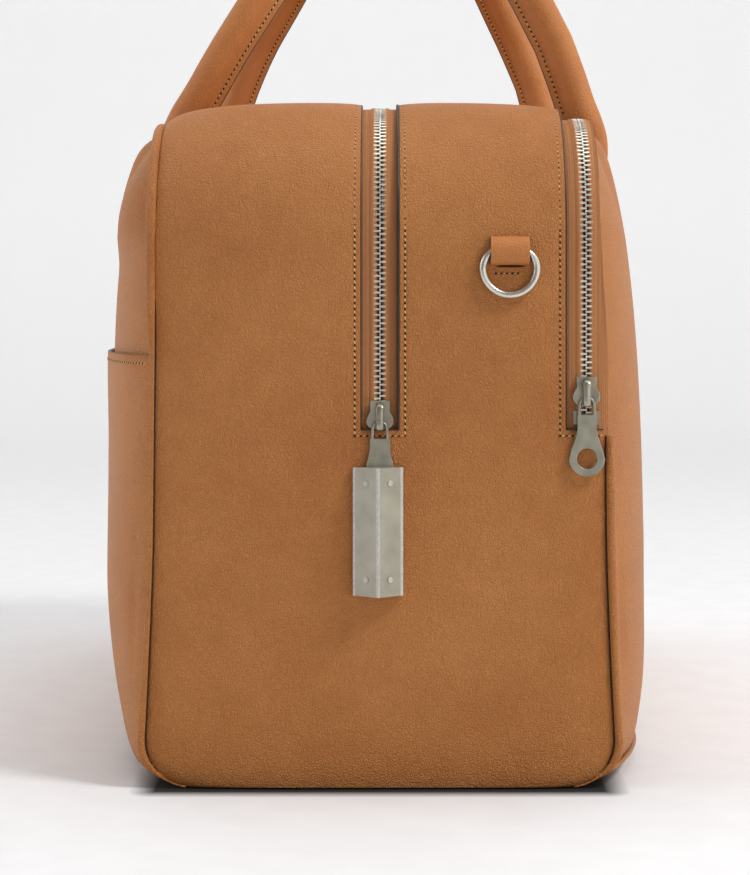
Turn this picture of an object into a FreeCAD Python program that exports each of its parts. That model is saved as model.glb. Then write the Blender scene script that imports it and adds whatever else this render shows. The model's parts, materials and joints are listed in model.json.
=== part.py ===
"""Weekender bag: a soft leather body on a base board, two zips and two rolled handles.

Millimetres. +X is the end with the tagged slider, -Y is the pocket face, +Z is up.
The origin is the middle of the floor contact, under the centre foot.
"""
import FreeCAD, Part
import math
import os

V = FreeCAD.Vector

# ---- body ----
HALF_LENGTH = 240.0          # outside of each end wall
BASE_Z = 6.0                 # underside of the base, one foot height above the floor
SHOULDER_Z = 262.0           # the end walls are straight up to here, then roll over
SEAM_TOP_Z = 318.0           # top of the gusset along its two side seams
CROWN = 14.0                 # how much higher the top is along the middle
CROWN_HALF_WIDTH = 109.0
LEATHER = 2.0
BASE_CORNER_R = 22.0
BASE_CORNER_Y = 89.5         # centre of the rounded lower corners
BASE_CORNER_Z = BASE_Z + BASE_CORNER_R
SEAM_LOW_Y = BASE_CORNER_Y + BASE_CORNER_R
SEAM_TOP_Y = 106.0           # the ends are a little narrower at the top
TILT = math.atan((SEAM_LOW_Y - SEAM_TOP_Y) / (SEAM_TOP_Z - BASE_CORNER_Z))

# ---- piping along the seams ----
PIPING_R = 2.5
PIPING_CORD_R = 1.4
PIPING_CORD_GAP = 0.1        # between the cord and its leather
PIPING_INSET_X = 1.5         # centre line inside the end wall's outer face
PIPING_OFFSET = 2.65         # centre line outside the gusset's cut edge

# ---- face panels: rounded outlines that step outwards to the crown of the pillow ----
# half length, low z, high z, low corner radius, high corner radius, distance from the middle
FRONT_RINGS = [
    (235.5, 15.0, 313.5, 8.0, 52.0, 106.0),
    (231.0, 12.0, 298.0, 10.0, 50.0, 111.4),
    (222.0, 10.0, 284.0, 14.0, 48.0, 121.0),
    (200.0, 22.0, 258.0, 20.0, 46.0, 129.0),
    (165.0, 52.0, 230.0, 26.0, 44.0, 134.0),
    (110.0, 80.0, 205.0, 30.0, 40.0, 135.3),
]
BACK_RINGS = [
    (235.5, 15.0, 313.5, 8.0, 52.0, 106.0),
    (231.0, 12.0, 298.0, 10.0, 50.0, 111.4),
    (222.0, 9.5, 280.0, 14.0, 48.0, 118.0),
    (200.0, 10.0, 256.0, 20.0, 46.0, 125.0),
    (165.0, 16.0, 230.0, 26.0, 44.0, 131.0),
    (110.0, 46.0, 200.0, 30.0, 40.0, 134.5),
]
POCKET_RINGS = [
    (235.5, 15.0, 313.5, 8.0, 52.0, 106.0),
    (231.0, 12.0, 300.0, 10.0, 50.0, 111.9),
    (222.0, 10.0, 292.0, 14.0, 48.0, 121.5),
    (200.0, 22.0, 278.0, 20.0, 46.0, 130.5),
    (165.0, 52.0, 262.0, 26.0, 44.0, 137.0),
    (110.0, 80.0, 245.0, 30.0, 40.0, 140.1),
]
PANEL_LIP = 1.4              # turned-in edge behind the piping, clear of the rear slider
POCKET_TOP_Z = 205.0
POCKET_GAP = 0.5
BASE_PANEL_TOP = 14.0        # the base turns up this far before it meets the face panels

# ---- zips ----
TAPE_X = 236.4               # middle of the tape thickness at the end walls
TAPE_THICKNESS = 0.8
TAPE_WIDTH = 12.5
TAPE_LOW_Z = 163.0
WINDOW_LOW_Z = 169.0
MAIN_WINDOW_HALF = 9.0
REAR_WINDOW_Y = 88.0
REAR_ZIP_Y = 97.6
REAR_TAPE_EDGE_Y = 104.6
TOOTH_PITCH = 2.64
TOOTH_LENGTH = 2.8
TOOTH_HEIGHT = 1.3
TOOTH_DEPTH = 2.4
CHAIN_GAP = 0.6              # from the zip's middle to a tooth's tip
MAIN_CHAIN_LOW = 172.0
REAR_CHAIN_LOW = 181.5
# distance from the zip's middle, height above floor, length, back and front from the tape's middle
MAIN_STOP = (0.6, 166.4, 3.4, -1.3, 1.3)
REAR_STOP = (3.9, 175.7, 6.4, 0.5, 2.0)
STOP_WIDTH = 2.2

# ---- sliders and pulls ----
SLIDER_LENGTH = 14.7
SLIDER_HALF_WIDTH = 6.35
SLIDER_NECK_HALF = 4.3
SLIDER_NECK_LOW = 8.5         # the narrow neck starts here, above the slider's lower end
SLIDER_LOBE_LOW = 2.6
SLIDER_LOBE_HIGH = 5.6
SLIDER_TOE = (4.0, 0.6)       # corners of the lower end
SLIDER_POST = (5.0, 9.0)
SLIDER_PLATE = 1.5
SLIDER_CLEARANCE = 0.35      # between a slider plate and the teeth
SLIDER_POST_HALF = 0.35
MAIN_SLIDER_Z = 169.3
REAR_SLIDER_Z = 180.6
BRIDGE_HALF = 1.5
BRIDGE_OUT = 4.6             # how far the bridge stands off the plate
BRIDGE_BAR = 1.6
BRIDGE_LOW = 1.2
BRIDGE_HIGH = 9.4
PULL_AXIS_OUT = 5.0          # pull axis, outside the tape's middle
PULL_AXIS_UP = 3.9           # pull axis, above the slider's lower end
PULL_WIRE_R = 0.85
PULL_THICKNESS = 1.6
PULL_ARM_IN = 2.6
PULL_ARM_OUT = 3.9
PULL_PLATE_DROP = 7.2
TAG_PLATE_LENGTH = 13.5
TAG_PLATE_TOP_HALF = 4.7
TAG_PLATE_LOW_HALF = 6.6
TAG_HALF_WIDTH = 12.0
TAG_EDGE = 2.6
TAG_DEPTH = 11.0
TAG_LENGTH = 60.5
TAG_BACK = 1.1               # back of the tag behind the pull's axis
TAG_SLOT_DEPTH = 6.0
TAG_SLOT_CLEARANCE = 0.08
RING_END_R = 8.5
RING_HOLE_R = 4.7
RING_END_DROP = 28.0
RING_NECK_HALF = 4.5
RING_NECK_DROP = 15.5

# ---- rings at the ends ----
D_RING_Y = 61.3
D_RING_Z = 255.0
D_RING_WIRE_R = 1.75
D_RING_HALF = 12.8
D_RING_CORNER = 3.0
D_RING_SIDE = 6.4
RING_TAB_HALF = 9.2
RING_TAB_LOW = 247.4
RING_TAB_HIGH = 261.8
RING_TAB_BULGE = 6.2
RING_TAB_THICKNESS = 1.6
RING_TAB_SKIN_GAP = 0.2

# ---- handles ----
HANDLE_SPREAD = 122.0        # each leg from the middle of the length
HANDLE_AXIS_Y = 114.2
HANDLE_AXIS_Z = 304.0
HANDLE_BASE_HALF = 15.0
HANDLE_BASE_THICKNESS = 5.0
HANDLE_BASE_TOP_Z = 316.0
HANDLE_BEND_R = 25.0
HANDLE_STRAIGHT = 50.0
HANDLE_TUBE_R = 8.5
HANDLE_HOLLOW_R = 6.4
HANDLE_CORE_R = 6.1
FLANGE_REACH = 12.0
FLANGE_THICKNESS = 3.2
FRONT_LEAN = 34.0
BACK_LEAN = 27.0
HANDLE_TAB_HALF = 17.0
HANDLE_TAB_LOW_Z = 228.0
HANDLE_TAB_TOP_Z = 300.5
HANDLE_TAB_THICKNESS = 3.0

# ---- base, feet and linings ----
BOARD_Z = 8.3
BOARD_THICKNESS = 2.5
BOARD_HALF_LENGTH = 228.0
BOARD_HALF_WIDTH = 92.0
FOOT_R = 7.0
FOOT_HEAD_R = 5.0
FOOT_X = 190.0
FOOT_Y = 65.0
STUD_R = 2.0
STUD_CLEARANCE = 0.05
WASHER_R = 6.0
WASHER_THICKNESS = 0.8
LINING_Z = 12.6
LINING_TOP_Z = 296.0
LINING_HALF_LENGTH = 231.0
LINING_THICKNESS = 1.2
LINING_FRONT_Y = -101.0
DIVIDER_Y = 73.0
DIVIDER_THICKNESS = 3.0
LINING_BACK_Y = 101.0
LINING_CLEARANCE = 0.4

FAR = 600.0                  # larger than the bag, for cutting boxes


def box(x0, x1, y0, y1, z0, z1):
    """Box between two corners."""
    return Part.makeBox(x1 - x0, y1 - y0, z1 - z0, V(x0, y0, z0))


def mirror_x(shape):
    """The same piece at the other end of the bag."""
    return shape.mirror(V(0, 0, 0), V(1, 0, 0))


def mirror_y(shape):
    """The same piece on the other face of the bag."""
    return shape.mirror(V(0, 0, 0), V(0, 1, 0))


def prism(points, direction):
    """Closed outline pushed along a direction."""
    wire = Part.makePolygon(points + [points[0]])
    return Part.Face(wire).extrude(direction)


def save(name, shape):
    """One STEP file for each node."""
    shape.exportStep(os.path.join("parts", name + ".step"))


# ---------------------------------------------------------------- gusset and base
def top_at(y):
    """Height of the top at distance y from the middle."""
    return SEAM_TOP_Z + CROWN * (1.0 - (y / CROWN_HALF_WIDTH) ** 2)


def end_outline(y, inset, z_low):
    """Outline of the right half of the bag at width y: floor, end wall, shoulder and top."""
    top = top_at(y) - inset
    wall = HALF_LENGTH - inset
    radius = top - SHOULDER_Z
    middle = V(wall - radius, y, SHOULDER_Z)
    a = V(0, y, z_low)
    b = V(wall, y, z_low)
    c = V(wall, y, SHOULDER_Z)
    d = middle + V(radius * math.sqrt(0.5), 0, radius * math.sqrt(0.5))
    e = V(wall - radius, y, top)
    f = V(0, y, top)
    edges = [
        Part.LineSegment(a, b).toShape(),
        Part.LineSegment(b, c).toShape(),
        Part.Arc(c, d, e).toShape(),
        Part.LineSegment(e, f).toShape(),
        Part.LineSegment(f, a).toShape(),
    ]
    return Part.Wire(edges)


def half_body(inset, z_low, stations):
    """Solid right half of the bag between its widths, drawn in by the inset."""
    wires = [end_outline(y, inset, z_low) for y in stations]
    return Part.makeLoft(wires, True, True)


def end_section(inset):
    """End view of the body: rounded lower corners and sides that lean in to the top."""
    r = BASE_CORNER_R - inset
    low = BASE_CORNER_Z - r
    side = V(0, r * math.cos(TILT), r * math.sin(TILT))
    centre = V(0, BASE_CORNER_Y, BASE_CORNER_Z)
    foot = V(0, BASE_CORNER_Y, low)
    mid_angle = 0.5 * (TILT - math.pi / 2)
    mid = centre + V(0, r * math.cos(mid_angle), r * math.sin(mid_angle))
    shoulder = centre + side
    rise = FAR - shoulder.z
    top = V(0, shoulder.y - rise * math.tan(TILT), FAR)

    def other(p):
        return V(p.x, -p.y, p.z)

    edges = [
        Part.LineSegment(other(foot), foot).toShape(),
        Part.Arc(foot, mid, shoulder).toShape(),
        Part.LineSegment(shoulder, top).toShape(),
        Part.LineSegment(top, other(top)).toShape(),
        Part.LineSegment(other(top), other(shoulder)).toShape(),
        Part.Arc(other(shoulder), other(mid), other(foot)).toShape(),
    ]
    face = Part.Face(Part.Wire(edges))
    face.translate(V(-FAR, 0, 0))
    return face.extrude(V(2 * FAR, 0, 0))


def make_gusset():
    """Right half of the strip that runs up the end and over the top, with its zip windows."""
    outer = half_body(0.0, BASE_Z - 1.0, [-112.0, -75.0, -38.0, 0.0, 38.0, 75.0, 112.0])
    inner = half_body(LEATHER, BASE_Z - 2.0, [-114.0, -75.0, -38.0, 0.0, 38.0, 75.0, 114.0])
    strip = outer.cut(inner).common(end_section(0.0))
    strip = strip.cut(box(-1, FAR, -MAIN_WINDOW_HALF, MAIN_WINDOW_HALF, WINDOW_LOW_Z, FAR))
    return strip.cut(box(-1, FAR, REAR_WINDOW_Y, FAR, WINDOW_LOW_Z, FAR))


def foot_places():
    """Centres of the four corner feet and the middle one."""
    corners = [(sx * FOOT_X, sy * FOOT_Y) for sx in (-1, 1) for sy in (-1, 1)]
    return corners + [(0.0, 0.0)]


def drill_studs(shape):
    """Clearance holes for the foot studs."""
    for x, y in foot_places():
        hole = Part.makeCylinder(STUD_R + STUD_CLEARANCE, 40.0, V(x, y, 0))
        shape = shape.cut(hole)
    return shape


def make_base_panel():
    """Leather base that turns up at both sides as far as the face panels."""
    half = HALF_LENGTH - 4.3
    skin = end_section(0.0).cut(end_section(LEATHER))
    skin = skin.common(box(-half, half, -FAR, FAR, 0, BASE_PANEL_TOP))
    return drill_studs(skin)


def make_base_board():
    """Stiff board inside the base."""
    board = box(-BOARD_HALF_LENGTH, BOARD_HALF_LENGTH, -BOARD_HALF_WIDTH, BOARD_HALF_WIDTH,
                BOARD_Z, BOARD_Z + BOARD_THICKNESS)
    return drill_studs(board)


def make_feet():
    """Flat-bottomed metal feet, each with a stud through the base."""
    feet = []
    for x, y in foot_places():
        head = Part.makeCone(FOOT_HEAD_R, FOOT_R, BASE_Z - 0.1, V(x, y, 0))
        stud = Part.makeCylinder(STUD_R, LINING_Z - 0.3, V(x, y, 0))
        feet.append(head.fuse(stud).removeSplitter())
    return Part.makeCompound(feet)


def make_washers():
    """Washers that clamp the feet on top of the board."""
    z = BOARD_Z + BOARD_THICKNESS + 0.05
    washers = []
    for x, y in foot_places():
        disc = Part.makeCylinder(WASHER_R, WASHER_THICKNESS, V(x, y, z))
        hole = Part.makeCylinder(STUD_R + STUD_CLEARANCE, WASHER_THICKNESS, V(x, y, z))
        washers.append(disc.cut(hole))
    return Part.makeCompound(washers)


# ---------------------------------------------------------------- face panels
def ring_wire(ring, grow, y):
    """Rounded outline of one step of a face panel."""
    half = ring[0] + grow
    low = ring[1] - grow
    high = ring[2] + grow
    r_low = ring[3] + grow
    r_high = ring[4] + grow
    corners = [
        (half - r_low, low + r_low, r_low, -90.0),
        (half - r_high, high - r_high, r_high, 0.0),
        (r_high - half, high - r_high, r_high, 90.0),
        (r_low - half, low + r_low, r_low, 180.0),
    ]
    arcs = []
    for cx, cz, r, start in corners:
        points = []
        for turn in (0.0, 45.0, 90.0):
            angle = math.radians(start + turn)
            points.append(V(cx + r * math.cos(angle), y, cz + r * math.sin(angle)))
        arcs.append(points)
    edges = []
    for index, points in enumerate(arcs):
        following = arcs[(index + 1) % len(arcs)]
        edges.append(Part.Arc(*points).toShape())
        edges.append(Part.LineSegment(points[2], following[0]).toShape())
    return Part.Wire(edges)


def pillow(rings, side, grow, lip):
    """Solid crowned pillow on one face of the bag; side is -1 at the front, 1 at the back."""
    wires = [ring_wire(rings[0], grow, side * (rings[0][5] - lip))]
    for ring in rings:
        wires.append(ring_wire(ring, grow, side * (ring[5] + grow)))
    return Part.makeLoft(wires, True, True)


def make_face_panel(rings, side):
    """Bulging leather face, open towards the inside."""
    outer = pillow(rings, side, 0.0, PANEL_LIP)
    inner = pillow(rings, side, -LEATHER, PANEL_LIP + 2.0)
    return outer.cut(inner)


def make_pocket():
    """Slip pocket over the lower part of the front face, open along its top edge."""
    outer = pillow(POCKET_RINGS, -1, POCKET_GAP + LEATHER, 0.0)
    inner = pillow(POCKET_RINGS, -1, POCKET_GAP, 2.0)
    half = FRONT_RINGS[0][0]
    zone = box(-half, half, -FAR, -SEAM_TOP_Y - 2.9, 0, POCKET_TOP_Z)
    return outer.cut(inner).common(zone)


def make_handle_tab(rings, side, x):
    """Leather tab sewn to the face under one leg of a handle."""
    outer = pillow(rings, side, 0.4 + HANDLE_TAB_THICKNESS, 0.0)
    inner = pillow(rings, side, 0.4, 2.0)
    zone = box(x - HANDLE_TAB_HALF, x + HANDLE_TAB_HALF, -FAR, FAR,
               HANDLE_TAB_LOW_Z, HANDLE_TAB_TOP_Z)
    return outer.cut(inner).common(zone)


# ---------------------------------------------------------------- piping
def tube_line(start, end, radius):
    """Round bar between two points."""
    run = end - start
    return Part.makeCylinder(radius, run.Length, start, run)


def tube_arc(centre, start, axis, degrees, radius):
    """Round bar bent about an axis, from its start point."""
    tangent = axis.cross(start - centre)
    disc = Part.Face(Part.Wire(Part.makeCircle(radius, start, tangent)))
    return disc.revolve(centre, axis, degrees)


def piping_run(radius):
    """Front piping from under one end, up, over the top and down the other end."""
    x = HALF_LENGTH - PIPING_INSET_X
    corner_r = BASE_CORNER_R + PIPING_OFFSET
    low = V(x, -BASE_CORNER_Y, BASE_CORNER_Z - corner_r)
    corner = V(x, -BASE_CORNER_Y, BASE_CORNER_Z)
    side = corner + V(0, -corner_r * math.cos(TILT), corner_r * math.sin(TILT))
    up = V(0, math.sin(TILT), math.cos(TILT))
    to_shoulder = (SHOULDER_Z - side.z) / math.cos(TILT)
    shoulder = side + up * to_shoulder
    shoulder_r = (SEAM_TOP_Z - PIPING_INSET_X - shoulder.z) / math.cos(TILT)
    middle = shoulder - V(shoulder_r, 0, 0)
    crest = middle + up * shoulder_r
    outward = V(0, -math.cos(TILT), math.sin(TILT))
    corner_turn = 90.0 + math.degrees(TILT)
    pieces = [
        tube_line(V(x, -0.15, low.z), low, radius),
        tube_arc(corner, low, V(-1, 0, 0), corner_turn, radius),
        tube_line(side, shoulder, radius),
        tube_arc(middle, shoulder, outward, 90.0, radius),
        tube_line(crest, V(0, crest.y, crest.z), radius),
    ]
    run = pieces[0].multiFuse(pieces[1:])
    return run.fuse(mirror_x(run)).removeSplitter()


def make_piping():
    """Hollow leather piping of the front seam, and the cord inside it."""
    cover = piping_run(PIPING_R).cut(piping_run(PIPING_CORD_R + PIPING_CORD_GAP))
    return cover, piping_run(PIPING_CORD_R)


# ---------------------------------------------------------------- zips
def zip_outline(y, inset, z_low):
    """Open route of a zip over the right half: up the end, round the shoulder, along the top."""
    top = top_at(y) - inset
    wall = HALF_LENGTH - inset
    radius = top - SHOULDER_Z
    diagonal = radius * math.sqrt(0.5)
    start = V(wall, 0, z_low)
    spring = V(wall, 0, SHOULDER_Z)
    mid = V(wall - radius + diagonal, 0, SHOULDER_Z + diagonal)
    crest = V(wall - radius, 0, top)
    return start, spring, mid, crest, V(0, 0, top)


def make_tape(zip_y, y0, y1):
    """One woven tape of a zip, from end to end."""
    inset = HALF_LENGTH - TAPE_X

    def region(extra):
        a, b, c, d, e = zip_outline(zip_y, inset + extra, TAPE_LOW_Z)
        floor = V(0, 0, TAPE_LOW_Z)
        edges = [
            Part.LineSegment(a, b).toShape(),
            Part.Arc(b, c, d).toShape(),
            Part.LineSegment(d, e).toShape(),
            Part.LineSegment(e, floor).toShape(),
            Part.LineSegment(floor, a).toShape(),
        ]
        solid = Part.Face(Part.Wire(edges)).extrude(V(0, y1 - y0, 0))
        solid.translate(V(0, y0, 0))
        return solid

    half = region(-TAPE_THICKNESS / 2).cut(region(TAPE_THICKNESS / 2))
    return half.fuse(mirror_x(half)).removeSplitter()


def tooth_places(zip_y, z_low):
    """Place and tilt of every tooth along a zip, from the right end to the left end."""
    inset = HALF_LENGTH - TAPE_X
    start, spring, _, crest, _ = zip_outline(zip_y, inset, z_low)
    radius = crest.z - SHOULDER_Z
    straight = spring.z - start.z
    bend = radius * math.pi / 2
    level = 2 * crest.x
    total = 2 * straight + 2 * bend + level
    count = int(total / TOOTH_PITCH)
    places = []
    for index in range(count + 1):
        s = index * total / count
        sign = 1.0
        if s > total / 2:
            s = total - s
            sign = -1.0
        if s < straight:
            x, z, tilt = start.x, start.z + s, 0.0
        elif s < straight + bend:
            tilt = (s - straight) / radius
            x = crest.x + radius * math.cos(tilt)
            z = SHOULDER_Z + radius * math.sin(tilt)
        else:
            x = crest.x - (s - straight - bend)
            z = crest.z
            tilt = math.pi / 2
        places.append((sign * x, z, sign * math.degrees(tilt)))
    return places


def make_teeth(zip_y, z_low, side):
    """Row of metal teeth on one side of a zip."""
    near = CHAIN_GAP
    y0 = zip_y + near if side > 0 else zip_y - near - TOOTH_LENGTH
    teeth = []
    for x, z, tilt in tooth_places(zip_y, z_low):
        tooth = Part.makeBox(TOOTH_DEPTH, TOOTH_LENGTH, TOOTH_HEIGHT,
                             V(-TOOTH_DEPTH / 2, 0, -TOOTH_HEIGHT / 2))
        tooth.rotate(V(0, 0, 0), V(0, 1, 0), -tilt)
        tooth.translate(V(x, y0, z))
        teeth.append(tooth)
    return Part.makeCompound(teeth)


def make_stops(zip_y, stop):
    """Metal stops below both rows, at both ends of a zip."""
    gap, middle_z, length, back, front = stop
    stops = []
    for y0 in (zip_y + gap, zip_y - gap - STOP_WIDTH):
        clip = Part.makeBox(front - back, STOP_WIDTH, length,
                            V(TAPE_X + back, y0, middle_z - length / 2))
        stops.append(clip)
        stops.append(mirror_x(clip))
    return Part.makeCompound(stops)


def make_slider(zip_y, low_z):
    """Slider at the right end: two plates on a post, with a bridge for the pull."""
    plate_x = TAPE_X + TOOTH_DEPTH / 2 + SLIDER_CLEARANCE
    back_x = TAPE_X - TOOTH_DEPTH / 2 - SLIDER_CLEARANCE - SLIDER_PLATE
    toe_half, toe_z = SLIDER_TOE
    right = [
        V(0, 0, 0),
        V(0, toe_half, toe_z),
        V(0, SLIDER_HALF_WIDTH, SLIDER_LOBE_LOW),
        V(0, SLIDER_HALF_WIDTH, SLIDER_LOBE_HIGH),
        V(0, SLIDER_NECK_HALF, SLIDER_NECK_LOW),
        V(0, SLIDER_NECK_HALF, SLIDER_LENGTH),
    ]
    left = [V(0, -p.y, p.z) for p in reversed(right[1:])]
    outline = right + left
    front = prism(outline, V(SLIDER_PLATE, 0, 0))
    front.translate(V(plate_x, 0, 0))
    back = prism(outline, V(SLIDER_PLATE, 0, 0))
    back.translate(V(back_x, 0, 0))
    post = box(back_x + 0.5, plate_x + 0.5, -SLIDER_POST_HALF, SLIDER_POST_HALF, *SLIDER_POST)
    face_x = plate_x + SLIDER_PLATE
    arch = box(face_x - 0.5, face_x + BRIDGE_OUT, -BRIDGE_HALF, BRIDGE_HALF,
               BRIDGE_LOW, BRIDGE_HIGH)
    hollow = box(face_x, face_x + BRIDGE_OUT - BRIDGE_BAR, -BRIDGE_HALF, BRIDGE_HALF,
                 BRIDGE_LOW + BRIDGE_BAR, BRIDGE_HIGH - BRIDGE_BAR)
    slider = front.multiFuse([back, post, arch]).cut(hollow)
    slider.translate(V(0, zip_y, low_z))
    return slider


def pull_axis(zip_y, low_z):
    """Point on the hinge line of a pull."""
    return V(TAPE_X + PULL_AXIS_OUT, zip_y, low_z + PULL_AXIS_UP)


def make_pull_loop(zip_y, low_z):
    """Bar through the bridge and the two arms down to the plate."""
    axis = pull_axis(zip_y, low_z)
    bar = Part.makeCylinder(PULL_WIRE_R, 2 * PULL_ARM_OUT, axis - V(0, PULL_ARM_OUT, 0), V(0, 1, 0))
    half = PULL_THICKNESS / 2
    arms = []
    for y0, y1 in ((-PULL_ARM_OUT, -PULL_ARM_IN), (PULL_ARM_IN, PULL_ARM_OUT)):
        arms.append(box(axis.x - half, axis.x + half, axis.y + y0, axis.y + y1,
                        axis.z - PULL_PLATE_DROP - 1.0, axis.z))
    return bar.multiFuse(arms)


def plate_outline(axis, pairs):
    """Flat plate from pairs of (half width, distance below the axis)."""
    half = PULL_THICKNESS / 2
    left = [V(axis.x - half, axis.y - w, axis.z - d) for w, d in pairs]
    right = [V(axis.x - half, axis.y + w, axis.z - d) for w, d in reversed(pairs)]
    return prism(left + right, V(PULL_THICKNESS, 0, 0))


def make_main_pull(zip_y, low_z):
    """Metal pull that flares into the tag, or ends plain at the other end of the bag."""
    axis = pull_axis(zip_y, low_z)
    low = PULL_PLATE_DROP + TAG_PLATE_LENGTH
    plate = plate_outline(axis, [
        (TAG_PLATE_TOP_HALF, PULL_PLATE_DROP),
        (TAG_PLATE_TOP_HALF, PULL_PLATE_DROP + 6.0),
        (TAG_PLATE_LOW_HALF, low),
        (TAG_PLATE_LOW_HALF, low + TAG_SLOT_DEPTH - 0.5),
    ])
    return make_pull_loop(zip_y, low_z).fuse(plate).removeSplitter()


def make_tag(low_z):
    """Frosted tag: a ridged prism with a slot in its top for the plate."""
    axis = pull_axis(0.0, low_z)
    top = axis - V(TAG_BACK, 0, PULL_PLATE_DROP + TAG_PLATE_LENGTH)
    section = [
        V(top.x, -TAG_HALF_WIDTH, top.z),
        V(top.x, TAG_HALF_WIDTH, top.z),
        V(top.x + TAG_EDGE, TAG_HALF_WIDTH, top.z),
        V(top.x + TAG_DEPTH, 0, top.z),
        V(top.x + TAG_EDGE, -TAG_HALF_WIDTH, top.z),
    ]
    tag = prism(section, V(0, 0, -TAG_LENGTH))
    half = PULL_THICKNESS / 2 + TAG_SLOT_CLEARANCE
    wide = TAG_PLATE_LOW_HALF + TAG_SLOT_CLEARANCE
    slot = box(axis.x - half, axis.x + half, -wide, wide, top.z - TAG_SLOT_DEPTH, top.z + 1.0)
    return tag.cut(slot)


def make_ring_pull(zip_y, low_z):
    """Rear pull: a flat plate that widens to a round end with a finger hole."""
    axis = pull_axis(zip_y, low_z)
    plate = plate_outline(axis, [
        (RING_NECK_HALF, PULL_PLATE_DROP),
        (RING_NECK_HALF, RING_NECK_DROP),
        (RING_END_R - 0.5, RING_END_DROP - 2.9),
        (RING_END_R - 0.5, RING_END_DROP - 1.0),
    ])
    centre = axis - V(PULL_THICKNESS / 2, 0, RING_END_DROP)
    disc = Part.makeCylinder(RING_END_R, PULL_THICKNESS, centre, V(1, 0, 0))
    hole = Part.makeCylinder(RING_HOLE_R, PULL_THICKNESS, centre, V(1, 0, 0))
    return make_pull_loop(zip_y, low_z).multiFuse([plate, disc]).removeSplitter().cut(hole)


# ---------------------------------------------------------------- rings at the ends
def d_ring_axis():
    """Middle of the straight bar of the right ring."""
    return V(HALF_LENGTH + RING_TAB_SKIN_GAP + D_RING_WIRE_R + 0.25, D_RING_Y, D_RING_Z)


def make_d_ring():
    """Wire ring with a straight bar, hanging from its leather loop."""
    bar = d_ring_axis()
    flat = D_RING_HALF - D_RING_CORNER
    along_x = V(1, 0, 0)
    left_top = bar + V(0, -flat, 0)
    right_top = bar + V(0, flat, 0)
    left_centre = left_top - V(0, 0, D_RING_CORNER)
    right_centre = right_top - V(0, 0, D_RING_CORNER)
    left_side = left_centre - V(0, D_RING_CORNER, 0)
    right_side = right_centre + V(0, D_RING_CORNER, 0)
    left_low = left_side - V(0, 0, D_RING_SIDE)
    right_low = right_side - V(0, 0, D_RING_SIDE)
    bow = bar - V(0, 0, D_RING_CORNER + D_RING_SIDE)
    r = D_RING_WIRE_R
    pieces = [
        tube_line(left_top, right_top, r),
        tube_arc(right_centre, right_top, along_x * -1, 90.0, r),
        tube_line(right_side, right_low, r),
        tube_arc(bow, right_low, along_x * -1, 180.0, r),
        tube_line(left_low, left_side, r),
        tube_arc(left_centre, left_side, along_x * -1, 90.0, r),
    ]
    return pieces[0].multiFuse(pieces[1:]).removeSplitter()


def make_ring_tab():
    """Leather loop that holds the ring's bar against the end wall."""
    face = HALF_LENGTH + RING_TAB_SKIN_GAP
    middle = 0.5 * (RING_TAB_LOW + RING_TAB_HIGH)

    def hump(low, high, out):
        edges = [
            Part.Arc(V(face, 0, low), V(face + out, 0, middle), V(face, 0, high)).toShape(),
            Part.LineSegment(V(face, 0, high), V(face, 0, low)).toShape(),
        ]
        solid = Part.Face(Part.Wire(edges)).extrude(V(0, 2 * RING_TAB_HALF, 0))
        solid.translate(V(0, D_RING_Y - RING_TAB_HALF, 0))
        return solid

    outer = hump(RING_TAB_LOW, RING_TAB_HIGH, RING_TAB_BULGE)
    inner = hump(RING_TAB_LOW + RING_TAB_THICKNESS, RING_TAB_HIGH - RING_TAB_THICKNESS,
                 RING_TAB_BULGE - RING_TAB_THICKNESS)
    return outer.cut(inner)


# ---------------------------------------------------------------- handles
def handle_frame(lean):
    """Directions of the front handle's slanted plane: up the legs, and towards the bag."""
    a = math.radians(lean)
    up = V(0, math.sin(a), math.cos(a))
    inward = V(0, math.cos(a), -math.sin(a))
    return up, inward


def bend_end(lean):
    """Where a leg leaves its lower bend."""
    a = math.radians(lean)
    return V(HANDLE_SPREAD, -HANDLE_AXIS_Y + HANDLE_BEND_R * (1 - math.cos(a)),
             HANDLE_BASE_TOP_Z + HANDLE_BEND_R * math.sin(a))


def loop_solid(lean, make_section):
    """Two straight legs and the half-circle between them, in the slanted plane."""
    up, inward = handle_frame(lean)
    start = bend_end(lean)
    leg = make_section(start, up, inward)
    straight = leg.extrude(up * HANDLE_STRAIGHT)
    high = start + up * HANDLE_STRAIGHT
    section = make_section(high, up, inward)
    bow = section.revolve(V(0, high.y, high.z), inward, -180.0)
    return straight.multiFuse([bow, mirror_x(straight)]).removeSplitter()


def round_section(radius):
    """Section maker: a plain disc across the leg."""
    def make(at, up, inward):
        return Part.Face(Part.Wire(Part.makeCircle(radius, at, up)))
    return make


def flanged_section(at, up, inward):
    """Section of the rolled handle: a tube with a flat stitched flange towards the bag."""
    disc = Part.Face(Part.Wire(Part.makeCircle(HANDLE_TUBE_R, at, up)))
    across = V(FLANGE_THICKNESS / 2, 0, 0)
    near = at + inward * (HANDLE_TUBE_R - 2.0)
    far = at + inward * FLANGE_REACH
    outline = [near - across, near + across, far + across, far - across]
    flange = Part.Face(Part.makePolygon(outline + [outline[0]]))
    return disc.fuse(flange).removeSplitter().Faces[0]


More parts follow.
